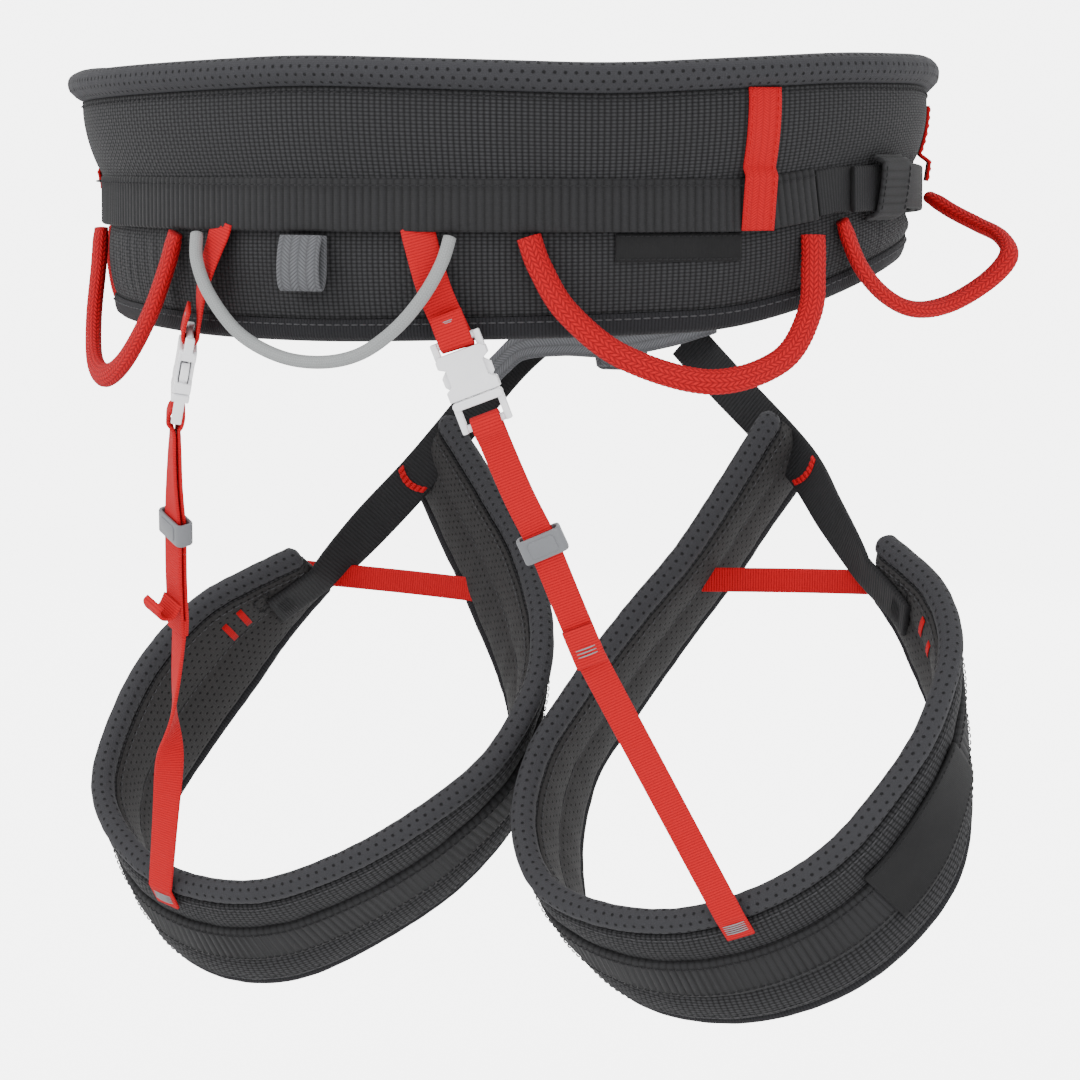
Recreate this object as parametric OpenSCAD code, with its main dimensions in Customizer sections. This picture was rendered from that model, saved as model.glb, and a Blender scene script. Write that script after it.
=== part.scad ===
// Sport climbing harness: padded waist belt, two padded leg loops, four gear
// loops, rear haul tab and cord, elastic risers with side-release buckles.
// Millimetres. The wearer faces +Y, the wearer's right is +X, +Z is up.
// The origin is the centre of the waist opening at the webbing's mid-height.

/* [Waist belt] */
// Half width of the belt across the hips, to its outer face
waist_a = 145; // [135:1:160]
// Half depth of the belt from back to front, to its outer face
waist_b = 121; // [112:1:132]
// Thickness of the padding
pad_t = 8; // [6:0.5:10]
// Diameter of the soft roll along the top edge
rim_d = 10.5; // [8:0.5:11]
// Height of the woven band round the belt
web_h = 17; // [14:0.5:20]
// Thickness of the woven band
web_t = 2; // [1.5:0.25:2.5]

/* [Gear loops] */
// Width of the flattened gear loop sleeve
sleeve_w = 8.2; // [6:0.2:9]
// Thickness of the gear loop sleeve
sleeve_t = 5.2; // [4:0.2:6]

/* [Risers] */
// Width of the elastic riser straps
riser_w = 10; // [8:0.5:11]
// Thickness of the elastic
elastic_t = 1.2; // [1:0.1:1.4]
// Width of the side-release clips
clip_w = 17; // [16:0.5:19]

/* [Leg loops] */
// Width of a leg loop's padding at the back of the thigh
leg_w = 56; // [48:1:62]
// Thickness of the leg loop's padding
leg_t = 8; // [6:0.5:9]
// Width of the leg loop's woven band
leg_web = 17; // [14:0.5:20]
// Width of the black straps at the front
strap_w = 15; // [12:0.5:18]

/* [Hidden] */
gap = 0.35; // clear space between neighbours
tape_t = 1.3; // thickness of sewn tapes
web_top = 9.4; // top edge of the woven band
web_low = web_top - web_h;
loop_z = web_low - 1.5; // where the hanging loops leave the band
pad_end = 150; // angle of the padding's front ends, from the centre of the back
band_end = 72; // angle where the ribbed band gives way to the plain strap
buckle_at = 158; // angle of the waist buckle
tail_end = 79; // angle where the strap's tail ends
bind_h = 7; // height of the binding along the bottom edge

// Top and bottom edges of the belt round the waist: [angle, height]
TOP = [[-150, 18], [-125, 38], [-100, 47], [-78, 47], [-60, 44], [-35, 46], [0, 49],
       [40, 46], [75, 50], [100, 50], [120, 46], [135, 34], [150, 18]];
LOW = [[-150, -15], [-120, -20], [-95, -36], [-75, -40], [-60, -38.5], [-20, -43], [0, -43.5],
       [40, -41], [58, -39.5], [70, -34.5], [82, -28], [95, -22], [112, -17], [150, -15]];

// ---- Curves ----
function unit(v) = v / norm(v);
function across(v, along) = unit(v - (v * along) * along);

// Point between b and c on the smooth curve through a, b, c and d
function blend(a, b, c, d, t) =
  0.5 * (2 * b + (c - a) * t + (2 * a - 5 * b + 4 * c - d) * t * t
  + (3 * b - a - 3 * c + d) * t * t * t);

// Smooth open curve through the points, n steps between neighbours
function curve(p, n) =
  let (m = len(p) - 1)
  [for (i = [0 : m - 1], k = [0 : n - 1])
     blend(p[max(i - 1, 0)], p[i], p[i + 1], p[min(i + 2, m)], k / n), p[m]];

// Direction of travel at each point of an open path
function headings(p) =
  let (m = len(p) - 1)
  [for (i = [0 : m]) unit(p[min(i + 1, m)] - p[max(i - 1, 0)])];

// ---- Solids swept along paths ----
// Closed solid through rings of equal length, ends capped
module skin(rings) {
  m = len(rings);
  k = len(rings[0]);
  sides = [for (i = [0 : m - 2], j = [0 : k - 1])
             let (n = (j + 1) % k, a = i * k + j, b = i * k + n, c = b + k, d = a + k)
             each [[a, c, b], [a, d, c]]];
  ends = [[for (j = [0 : k - 1]) j], [for (j = [k - 1 : -1 : 0]) (m - 1) * k + j]];
  polyhedron(points = [for (r = rings) each r], faces = concat(sides, ends));
}

// Flat strap: w wide along the side direction, t thick; side is one vector or one per point
module strap(p, side, w, t) {
  h = headings(p);
  one = is_num(side[0]);
  skin([for (i = [0 : len(p) - 1])
    let (s = across(one ? side : side[i], h[i]), n = cross(h[i], s))
    [p[i] + s * w / 2 + n * t / 2, p[i] - s * w / 2 + n * t / 2,
     p[i] - s * w / 2 - n * t / 2, p[i] + s * w / 2 - n * t / 2]]);
}

// Oval tube: w across in the plane square to face, t thick along face
module tube(p, face, w, t, k) {
  h = headings(p);
  one = is_num(face[0]);
  skin([for (i = [0 : len(p) - 1])
    let (n = across(one ? face : face[i], h[i]), s = cross(n, h[i]))
    [for (j = [0 : k - 1]) p[i] + s * cos(360 * j / k) * w / 2 + n * sin(360 * j / k) * t / 2]]);
}

// ---- The belt's surface ----
// How far the padding leans out at height z; it is drawn in a little on the left hip
function drawn_in(f) = pow(max(0, cos(f + 62)), 4);
function lean(f, z) =
  0.14 * z + 0.0005 * z * z + drawn_in(f) * ((z > 0 ? 0.1 : -0.04) * z - 4.4);
function belt_n(f) = unit([sin(f) / waist_a, -cos(f) / waist_b, 0]);
function belt_t(f) = unit([waist_a * cos(f), waist_b * sin(f), 0]);
// Point at angle f, height z, off outside the padding's outer face
function belt(f, off, z) =
  [waist_a * sin(f), -waist_b * cos(f), z] + belt_n(f) * (off + lean(f, z));
function top_z(f) = lookup(f, TOP);
function low_z(f) = lookup(f, LOW);
function steps(a, b, n) = [for (i = [0 : n]) a + (b - a) * i / n];
// The same, but with off counted from the padding's face at the band's height
function hung(q) = belt(q[0], q[1] - lean(q[0], q[2]) + lean(q[0], loop_z), q[2]);

// The bands ride a little higher over the right hip
function lift(f) = lookup(f, [[62, 0], [76, 4.5], [98, 5.5], [128, 2.5], [150, 0]]);

// Band of thickness t round the belt between two angles, from height z0 to z1
module round_band(a, b, n, z0, z1, off, t) {
  skin([for (f = steps(a, b, n)) let (u = z0 + lift(f), v = z1 + lift(f))
    [belt(f, off, v), belt(f, off + t, v), belt(f, off + t, u), belt(f, off, u)]]);
}

module belt_pad() {
  color([0.13, 0.13, 0.14])
    skin([for (f = steps(-pad_end, pad_end, 66))
      let (z0 = low_z(f) + bind_h + gap, z1 = top_z(f) - rim_d - gap)
      [belt(f, -pad_t, (z0 + z1) / 2), belt(f, -pad_t, z1), belt(f, -1, z1), belt(f, 0, z1 - 1),
       belt(f, 0, (z0 + z1) / 2), belt(f, 0, z0 + 1), belt(f, -1, z0), belt(f, -pad_t, z0)]]);
}

module belt_rim() {
  path = [for (f = steps(-pad_end, pad_end, 66)) belt(f, -1.8, top_z(f) - rim_d / 2)];
  color([0.25, 0.25, 0.27]) tube(path, [0, 0, 1], rim_d, rim_d, 8);
}

module belt_binding() {
  color([0.16, 0.16, 0.18])
    skin([for (f = steps(-pad_end, pad_end, 66))
      let (z0 = low_z(f), z1 = z0 + bind_h)
      [belt(f, 0.6, z1), belt(f, 0, z0 + 1), belt(f, -pad_t / 2, z0), belt(f, -pad_t + 1, z0 + 1),
       belt(f, -pad_t + 0.5, z1)]]);
}

module belt_band() {
  color([0.12, 0.12, 0.13])
    round_band(-band_end, band_end, 40, web_low, web_top, gap, web_t);
}

module label_patch() {
  color([0.03, 0.03, 0.03]) round_band(41, 59.5, 6, web_low - 9.5, web_low - 0.3, gap, 0.8);
}

// ---- Waist strap, buckle and tie-in ----
strap_h = 15; // height of the plain waist strap
strap_mid = 1; // height of its middle
strap_t = 1.8;
layer = strap_t + gap;

module waist_strap_left() {
  color([0.1, 0.1, 0.11])
    round_band(-360 + buckle_at + 3.2, -band_end - 0.6, 44,
               strap_mid - strap_h / 2, strap_mid + strap_h / 2, gap, strap_t);
}

module waist_strap_right() {
  color([0.1, 0.1, 0.11])
    round_band(band_end + 0.6, buckle_at - 4.6, 28,
               strap_mid - strap_h / 2, strap_mid + strap_h / 2, gap, strap_t);
}

module waist_strap_tail() {
  color([0.1, 0.1, 0.11])
    round_band(tail_end, buckle_at - 7.6, 24,
               strap_mid - strap_h / 2, strap_mid + strap_h / 2, gap + layer, strap_t);
}

// Elastic band sewn above and below the strap, which holds its tail down
keeper_at = 88;
module waist_keeper() {
  path = [for (q = [[1.2, -15], [1.4, -9.6], [2.8, -8.2], [5.6, -7.8], [6.4, -6.2], [6.5, 1],
                    [6.4, 8.2], [5.6, 9.8], [2.8, 10.2], [1.4, 11.6], [1.2, 16]])
            belt(keeper_at, q[0], q[1] + lift(keeper_at))];
  color([0.07, 0.07, 0.08]) strap(path, belt_t(keeper_at), 15, 1.4);
}

// Frame that a rectangle of w by h leaves, t thick, with a slot of sw by sh either side of a bar
module plate(w, h, t, sw, sh, bar) {
  difference() {
    translate([-w / 2, -t / 2, -h / 2]) cube([w, t, h]);
    for (s = [-1, 1])
      translate([s * (bar + sw) / 2 - sw / 2, -t, -sh / 2]) cube([sw, 2 * t, sh]);
  }
}

// Puts a part drawn in X and Z, facing -Y, on the belt at angle f
module on_belt(f, off, z) {
  translate(belt(f, off, z)) rotate([0, 0, atan2(belt_t(f).y, belt_t(f).x)]) children();
}

module buckle_frame() {
  color([0.75, 0.76, 0.78]) on_belt(buckle_at, 6, strap_mid) plate(34, 27, 2.4, 9.5, 19, 5);
}

// Slotted bar that clamps the strap on the frame; it tips to let the strap run
module buckle_slider() {
  color([0.62, 0.63, 0.66]) on_belt(buckle_at, 9, strap_mid) plate(26, 24, 2.2, 6, 18, 4);
}

// Webbing loop sewn to the front of the waist strap, flat round the belay loop
module tie_in_point() {
  path = [[-30, 124.2, 1], [-22, 126, 1], [-13, 131.5, 1], [0, 134, 1], [13, 131.5, 1], [22, 126, 1],
          [30, 124.2, 1]];
  color([0.3, 0.3, 0.32]) strap(curve(path, 2), [0, 0, 1], 14, 1.8);
}

// Belay loop: a ring of webbing through both tie-in loops
module belay_loop() {
  path = [[0, 86.5, -60], [0, 84.8, -50], [0, 93, -35], [0, 112, -21], [0, 126.6, -9], [0, 128, 4],
          [0, 134, 12.5], [0, 139, 8], [0, 139.5, -3], [0, 128, -22], [0, 110, -42], [0, 96.5, -56],
          [0, 91, -60.5]];
  color([0.36, 0.36, 0.38]) strap(curve(path, 2), [1, 0, 0], 15, 2.4);
}

// ---- Tapes over the belt ----
// Red tape down the belt's face from below the roll, over whatever lies rise off the padding
module tape(f, z0, z1, w, rise) {
  strap([belt(f, 1.1, z1), belt(f, 1.1, 15 + lift(f)), belt(f, rise, web_top + 1.6 + lift(f)),
         belt(f, rise, z0 + 2), belt(f, rise + 0.3, z0)], belt_t(f), w, tape_t);
}
band_rise = gap + web_t + gap + tape_t / 2;
strap_rise = gap + 2 * layer + tape_t / 2;
red = [0.85, 0.1, 0.12];
module side_tape_right() { color(red) tape(61.5, web_low + 0.3, 38, 12, band_rise); }
module side_tape_left() { color(red) tape(-75, web_low + 0.3, 31, 12, band_rise); }
module front_tape_right() { color(red) tape(115, 7.5, 33, 9, strap_rise); }
module front_tape_left() { color(red) tape(-115, 7.5, 29, 9, strap_rise - layer); }

// ---- Gear loops ----
// Routes of the loops' middle lines: [angle round the belt, off the padding, height]
REAR_RIGHT = [[29.5, 3.6, loop_z], [31, 5, -19], [34.5, 8, -33], [41.5, 11.5, -47], [52.5, 14, -55],
              [63, 12, -49], [69, 8.5, -34], [71, 5, -19], [71.5, 3.6, loop_z]];
REAR_LEFT = [[-62, 3.6, loop_z], [-61, 4.5, -22], [-57, 6.5, -40], [-50, 8, -54], [-42, 8.5, -58],
             [-35, 8, -52], [-29, 6.5, -37], [-25.5, 4.5, -20], [-24, 3.6, loop_z]];
FRONT_RIGHT = [[77.5, 4, loop_z + 4.5], [80.5, 6, -19], [85, 9, -29], [90, 14, -34], [96, 21, -32.5],
               [101, 31, -25],
               [104, 36.5, -17], [107, 33, -11], [109.5, 25, -7], [111.5, 17, -3], [113, 11.4, 0.5],
               [114, 9, 2]];
FRONT_LEFT = [[-78, 4, loop_z], [-80, 6, -22], [-87, 9, -36], [-96, 10, -40], [-105, 9, -36],
              [-112, 6, -22], [-114, 4, loop_z]];

// tilt is how far the loop's plane leans out from straight down
module gear_loop(route, tilt, w) {
  n = belt_n((route[0][0] + route[len(route) - 1][0]) / 2);
  color(red) tube(curve([for (q = route) hung(q)], 3), n * cos(tilt) + [0, 0, sin(tilt)], w, sleeve_t, 10);
}
module gear_loop_rear_right() { gear_loop(REAR_RIGHT, 15, sleeve_w); }
module gear_loop_rear_left() { gear_loop(REAR_LEFT, 8, sleeve_w); }
module gear_loop_front_right() { gear_loop(FRONT_RIGHT, 60, sleeve_w - 1.4); }
module gear_loop_front_left() { gear_loop(FRONT_LEFT, 12, sleeve_w - 1.4); }

// ---- Haul tab and rear cord ----
haul_f = -1;
module haul_tab() {
  color([0.45, 0.45, 0.47])
    strap([for (q = [[1.2, loop_z], [1.3, -17], [1.6, -22], [2.6, -25.4], [4.2, -26.4], [5.6, -24.6],
                     [6.2, -20], [5.6, -14], [4, loop_z]]) hung([haul_f, q[0], q[1]])],
          belt_t(haul_f), 16, 1.4);
}

// Route of the grey cord that hangs between the risers
CORD = [[-46.5, -118, -9.2], [-43.5, -122.5, -18], [-36.5, -125.5, -29], [-24, -127.5, -41],
        [-8, -128.3, -48], [8, -128.5, -49.5], [22, -127.8, -46.5], [34, -126.3, -38.5],
        [43, -124, -28], [48.3, -121.3, -17.5], [49.5, -118, -9.2]];
cord_d = 4.3;
module rear_cord() {
  color([0.6, 0.61, 0.63]) tube(curve(CORD, 4), [0, -1, 0], cord_d, cord_d, 8);
}

// ---- Risers ----
// Middle line of the right riser; the left one mirrors it down to its own leg loop
RISER = [[38, -117.8, -9], [44, -118.5, -26], [50.5, -116.3, -42]];
clip_d = unit([9, 5, -27]); // way the strap runs through the clip
clip_top = RISER[2] + clip_d * 3.4; // where the socket's body starts
OUT = unit([0.42, -0.9, 0]); // way the right riser's face looks
SIDE = unit([0.9, 0.42, 0.3]);
left_twist = 30; // turn of the left clip about its own axis
socket_l = 15; // length of the socket
plug_frame = 10.5; // length of the plug's strap frame
bar_r = 1.3; // radius of the bars the straps turn round
turn_r = bar_r + gap + elastic_t / 2 + 0.15;
bar_at = clip_top + clip_d * (socket_l + 0.4 + plug_frame - bar_r);
LOWER = [bar_at, [65.5, -103, -91], [70.5, -95, -108], [75, -88, -126], [79.5, -80, -145]];
foot_at = [19, 20]; // steps of the leg loops where the right and left straps are sewn on

module on_right(s) { if (s > 0) children(); else mirror([1, 0, 0]) children(); }
// On the left, v turned by the clip's twist times f
function twisted(s, v, f) =
  let (a = s > 0 ? 0 : -left_twist * f, d = clip_d)
  v * cos(a) + cross(d, v) * sin(a) + d * (d * v) * (1 - cos(a));

// Strap from the belt, through the socket's top slot and back up behind a line of stitches
module riser_top(s) {
  bar = RISER[2];
  n = across(twisted(s, OUT, 1), clip_d);
  run = curve([RISER[0], RISER[1], bar - n * turn_r - clip_d * 1.5], 4);
  back = [for (q = [[-2.1, 0], [-1.5, 1.5], [0, 2.2], [1.5, 1.5], [2.1, 0], [2, -4], [1.4, -8]])
            bar + n * q[0] * turn_r / 2.1 + clip_d * q[1] * turn_r / 2.1];
  p = concat(run, back);
  m = len(p) - 1;
  color(red) on_right(s)
    strap(p, [for (i = [0 : m]) twisted(s, SIDE, min(1, i / 7))], 11, elastic_t);
}
module riser_top_right() { riser_top(1); }
module riser_top_left() { riser_top(-1); }

// Puts a part at p on the riser: local -Z runs along d down the strap, local -Y faces out
module on_riser(s, p, d, f) {
  n = across(twisted(s, OUT, f), d);
  x = cross(n, d);
  on_right(s)
    multmatrix([[x.x, -n.x, -d.x, p.x], [x.y, -n.y, -d.y, p.y], [x.z, -n.z, -d.z, p.z], [0, 0, 0, 1]])
    children();
}

clip_t = 6; // thickness of the clip
clip_top_bar = 3.4; // from the strap bar down to the socket's body

// Socket: a flat sleeve open at the bottom and both sides, with a strap bar on top
module clip_socket(s) {
  w = clip_w;
  color([0.92, 0.92, 0.93]) on_riser(s, clip_top, clip_d, 1) {
    difference() {
      translate([-w / 2, -clip_t / 2, -socket_l]) cube([w, clip_t, socket_l]);
      // mouth for the plug
      translate([-w / 2 + 1.6, -clip_t / 2 + 1.2, -socket_l - 1])
        cube([w - 3.2, clip_t - 2.4, socket_l - 0.4]);
      // side windows
      translate([-w / 2 - 1, -clip_t / 2 + 1.2, -socket_l + 3.6]) cube([w + 2, clip_t - 2.4, 7]);
    }
    for (k = [-1, 1])
      translate([k * (w / 2 - 1.2) - 1.2, -1.6, -0.01]) cube([2.4, 3.2, clip_top_bar + bar_r]);
    translate([0, 0, clip_top_bar]) rotate([0, 90, 0])
      cylinder(r = bar_r, h = w - 2.4, center = true, $fn = 32);
  }
}
module clip_socket_right() { clip_socket(1); }
module clip_socket_left() { clip_socket(-1); }

// Plug: two sprung prongs and a guide on a D-shaped strap frame
module clip_plug(s) {
  w = clip_w;
  t = clip_t - 3.2;
  top = -socket_l - 0.4;
  low = top - plug_frame;
  color([0.94, 0.94, 0.95]) on_riser(s, clip_top, clip_d, 1) {
    translate([-w / 2, -clip_t / 2, top - 2.8]) cube([w, clip_t, 2.8]);
    for (k = [-1, 1]) {
      translate([k * (w / 2 - 1.1) - 1.1, -1.8, low]) cube([2.2, 3.6, plug_frame - 2.7]);
      translate([k * (w / 2 - 3.4) - 1.2, -t / 2, top - 0.01]) cube([2.4, t, 11]);
    }
    translate([-1.1, -t / 2, top - 0.01]) cube([2.2, t, 12]);
    translate([0, 0, low + bar_r]) rotate([0, 90, 0]) cylinder(r = bar_r, h = w - 2, center = true, $fn = 32);
  }
}
module clip_plug_right() { clip_plug(1); }
module clip_plug_left() { clip_plug(-1); }

// Elastic folded over the plug's bar: front layer, turn, back layer
module riser_fold(s) {
  p = curve(LOWER, 3);
  h = headings(p);
  m = len(p) - 1;
  n = across(twisted(s, OUT, 1), clip_d);
  function fade(i) = max(0, 1 - i / 6);
  function face(i) = across(twisted(s, OUT, fade(i)), h[i]);
  front = [for (i = [m : -1 : 1]) p[i] + face(i) * 1.15];
  back = [for (i = [1 : m]) p[i] - face(i) * (i == m ? 0.3 : 0.75)];
  turn = [for (q = [[1, 1.2], [1, 0], [0.7, -0.7], [0, -1], [-0.7, -0.7], [-1, 0], [-1, 1.2]])
            bar_at + (n * q[0] + clip_d * q[1]) * turn_r];
  sides = concat([for (i = [m : -1 : 1]) fade(i)], [for (q = turn) 1], [for (i = [1 : m]) fade(i)]);
  color(red) on_right(s)
    strap(concat(front, turn, back), [for (f = sides) f == 1 ? cross(n, clip_d) : twisted(s, SIDE, f)],
          riser_w, elastic_t);
}
module riser_fold_right() { riser_fold(1); }
module riser_fold_left() { riser_fold(-1); }

// Slider sleeve round both layers
module riser_keeper(s) {
  w = riser_w + 5.2;
  color([0.45, 0.46, 0.48]) on_riser(s, LOWER[2], unit(LOWER[3] - LOWER[1]), 0)
    difference() {
      translate([-w / 2, -3.4, -4.2]) cube([w, 6.4, 8.4]);
      translate([-w / 2 + 1.4, -2.5, -5]) cube([w - 2.8, 4.7, 10]);
    }
}
module riser_keeper_right() { riser_keeper(1); }
module riser_keeper_left() { riser_keeper(-1); }

// Single layer from the fold down to the leg loop's roll, sewn on its outside
module riser_strap(s) {
  k = s > 0 ? 0 : 1;
  i = foot_at[k];
  rolled = leg(k, i, -half_w(k, i) + 2.5, 6.4);
  sewn = leg(k, i, -half_w(k, i) + 12, 6.4);
  across_leg = -lh[k][i];
  flip = [s, 1, 1]; // the left side's points are mirrored with the rest of its riser
  lap = [for (j = [0 : 2]) rolled[j] * flip[j]];
  end = [for (j = [0 : 2]) sewn[j] * flip[j]];
  last = [for (j = [0 : 2]) across_leg[j] * flip[j] * s];
  top = LOWER[4] + unit(lap - LOWER[4]) * 1.1;
  free = [for (f = [0, 0.35, 0.7, 1]) top + (lap - top) * f];
  p = concat(curve(free, 5), [(lap + end) / 2, end]);
  m = len(p) - 1;
  color(red) on_right(s) strap(p, [for (q = [0 : m]) unit(SIDE * (m - q) + last * q)], riser_w, elastic_t);
}
module riser_strap_right() { riser_strap(1); }
module riser_strap_left() { riser_strap(-1); }

// ---- Leg loops ----
// Each leg loop, from its outer front end round the back to its inner end:
// [middle point, way down the thigh, share of the full width]
LEG_RIGHT = [
  [[121, 54, -125], [-0.58, 0.68, -0.44], 0.6], [[141, 45, -141], [-0.65, 0.66, -0.38], 0.75],
  [[155, 33, -160], [-0.5, 0.8, -0.33], 0.87], [[162, 18, -184], [-0.1, 0.95, -0.28], 0.95],
  [[157, 2, -212], [0.28, 0.87, -0.4], 1], [[142, -9, -233], [0.34, 0.74, -0.58], 1],
  [[121, -18, -247], [0.3, 0.66, -0.69], 1], [[93, -23, -255], [0.17, 0.65, -0.74], 1],
  [[62, -22, -254], [0, 0.7, -0.71], 1], [[36, -15, -243], [-0.08, 0.82, -0.56], 0.97],
  [[22, -3, -221], [-0.08, 0.93, -0.35], 0.93], [[20, 12, -196], [-0.05, 0.97, -0.24], 0.89],
  [[29, 26, -173], [0, 0.96, -0.27], 0.84], [[41, 40, -150], [0, 0.95, -0.32], 0.78],
  [[54, 53, -128], [0, 0.95, -0.31], 0.73], [[64, 66, -106], [0.05, 0.92, -0.38], 0.67],
  [[75, 80, -82], [0.2, 0.82, -0.54], 0.6]
];
LEG_LEFT = [
  [[-103, 45, -135], [-0.15, 0.87, -0.48], 0.6], [[-118, 37, -148], [0.05, 0.86, -0.5], 0.75],
  [[-131, 27, -163], [0.14, 0.79, -0.6], 0.87], [[-144, 14, -186], [0.12, 0.8, -0.58], 0.93],
  [[-150, -3, -213], [-0.05, 0.92, -0.38], 0.96], [[-143, -14, -233], [-0.22, 0.88, -0.42], 1],
  [[-126, -24, -249], [-0.34, 0.74, -0.58], 1], [[-101, -28, -257], [-0.34, 0.65, -0.68], 1],
  [[-72, -27, -255], [-0.27, 0.66, -0.7], 1], [[-41, -19, -241], [-0.18, 0.76, -0.62], 1],
  [[-18, -8, -224], [-0.15, 0.83, -0.53], 1], [[0, 5, -201], [-0.24, 0.9, -0.37], 0.95],
  [[1, 19, -177], [-0.55, 0.82, -0.15], 0.88], [[-7, 31, -157], [-0.76, 0.64, -0.12], 0.82],
  [[-26, 46, -133], [-0.87, 0.46, -0.17], 0.74], [[-43, 56, -115], [-0.87, 0.41, -0.25], 0.68],
  [[-68, 71, -90], [-0.75, 0.36, -0.55], 0.6]
];
LEGS = [LEG_RIGHT, LEG_LEFT]; // side 0 is the right, side 1 the left
leg_mid = [[88, 20, -176], [-78, 18, -176]]; // middles of the openings
leg_n = 3; // steps between neighbouring points
lp = [for (g = LEGS) curve([for (q = g) q[0]], leg_n)];
ld = [for (g = LEGS) curve([for (q = g) q[1]], leg_n)];
lw = [for (g = LEGS) curve([for (q = g) [q[2], 0, 0]], leg_n)];
lh = [for (p = lp) headings(p)];
leg_last = len(lp[0]) - 1;
// Down-thigh and outward directions at step i of leg loop k
function leg_down(k, i) = across(ld[k][i], lh[k][i]);
function leg_out(k, i) =
  let (o = cross(leg_down(k, i), lh[k][i])) o * sign(o * (lp[k][i] - leg_mid[k]));
// Point at step i, v down the thigh from the middle line, off outside it
function leg(k, i, v, off) = lp[k][i] + leg_down(k, i) * v + leg_out(k, i) * off;
function half_w(k, i) = lw[k][i].x * leg_w / 2;
leg_roll = 8.5; // roll along the hip side
leg_bead = 5.6; // bead along the knee side

// Rings turn the other way on the left, so that every solid faces outwards
function turned(k, ring) = k == 0 ? ring : [for (i = [len(ring) - 1 : -1 : 0]) ring[i]];

module leg_pad(k) {
  h = leg_t / 2;
  color([0.16, 0.16, 0.17])
    skin([for (i = [0 : leg_last])
      let (a = -half_w(k, i) + leg_roll + gap, b = half_w(k, i) - leg_bead - gap)
      turned(k, [leg(k, i, b, -h), leg(k, i, b, h - 0.8), leg(k, i, b - 0.8, h), leg(k, i, a + 0.8, h),
                 leg(k, i, a, h - 0.8), leg(k, i, a, -h)])]);
}
module leg_pad_right() { leg_pad(0); }
module leg_pad_left() { leg_pad(1); }

module leg_rim(k) {
  color([0.25, 0.25, 0.27])
    tube([for (i = [0 : leg_last]) leg(k, i, -half_w(k, i) + leg_roll / 2, 0.4)],
         [for (i = [0 : leg_last]) leg_out(k, i)], leg_roll, leg_roll, 8);
}
module leg_rim_right() { leg_rim(0); }
module leg_rim_left() { leg_rim(1); }

module leg_edge(k) {
  color([0.22, 0.22, 0.24])
    tube([for (i = [0 : leg_last]) leg(k, i, half_w(k, i) - leg_bead / 2, 0)],
         [for (i = [0 : leg_last]) leg_out(k, i)], leg_bead, leg_bead + 1, 8);
}
module leg_edge_right() { leg_edge(0); }
module leg_edge_left() { leg_edge(1); }

band_from = 3; // first and last step of the ribbed band
band_to = 45;
band_mid = 1.2; // its middle, down from the padding's middle line
module leg_band(k) {
  o = leg_t / 2 + gap;
  color([0.1, 0.1, 0.11])
    skin([for (i = [band_from : band_to])
      let (h = min(leg_web / 2, half_w(k, i) - 9), a = band_mid + h, b = band_mid - h)
      turned(k, [leg(k, i, a, o), leg(k, i, a, o + 1.6), leg(k, i, b, o + 1.6), leg(k, i, b, o)])]);
}
module leg_band_right() { leg_band(0); }
module leg_band_left() { leg_band(1); }

// Blank sewn label over the right band
module leg_label() {
  o = leg_t / 2 + gap + 1.6 + gap;
  color([0.04, 0.04, 0.04])
    skin([for (i = [9 : 14])
      concat([for (v = steps(13, -12, 5)) leg(0, i, v, o + 0.8)], [for (v = steps(-12, 13, 5)) leg(0, i, v, o)])]);
}

// Black straps: from the tie-in, over the inner end, to the inside of the outer end
STRAP_TOP = [[[30, 84.5, -50], [46, 82, -64]], [[-30, 84.5, -50], [-44, 81, -64]]];
module leg_strap(k) {
  o = -leg_t / 2 - 1.5;
  in = leg(k, leg_last - 1, 2, o - 1);
  out = leg(k, 0, 0, o);
  free = concat(curve([STRAP_TOP[k][0], STRAP_TOP[k][1], in, (in + out) / 2, out], 4));
  p = concat(free, [leg(k, 1, 0, o), leg(k, 2, 0, o), leg(k, 3, 0, o)]);
  m = len(free) - 1;
  run = cross(unit(out - in), [0, -1, 0.1]) * (k == 0 ? 1 : -1);
  color([0.08, 0.08, 0.09])
    strap(p, [for (j = [0 : len(p) - 1]) let (f = pow(min(1, j / m), 3))
                unit(run * (1 - f) + leg_down(k, 2) * f)], strap_w, strap_t);
}
module leg_strap_right() { leg_strap(0); }
module leg_strap_left() { leg_strap(1); }

// Red elastic from the back of the inner end to the back of the outer end
module leg_elastic(k) {
  o = leg_t / 2 + 1.2;
  in = leg(k, 41, 0, o);
  out = leg(k, 1, 3, o);
  color(red) strap(curve([in, (in + out) / 2 + [0, 3, 0], out], 4), [0, 0.1, 1], 8.5, elastic_t);
}
module leg_elastic_right() { leg_elastic(0); }
module leg_elastic_left() { leg_elastic(1); }

// Grey loop that joins both leg straps, flat round the belay loop
module leg_tie_in() {
  path = [[-47, 73, -67], [-41, 75, -60], [-33, 77, -54], [-16, 78, -52], [4, 78, -52], [26, 78, -48],
          [37, 80, -44.5], [41, 84.5, -42.5], [37, 89, -42.5], [20, 91, -46], [-4, 91, -48], [-22, 90, -48],
          [-28, 88, -49]];
  color([0.4, 0.4, 0.42]) strap(curve(path, 2), [0, 0.35, 1], 10, 1.5);
}

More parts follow.
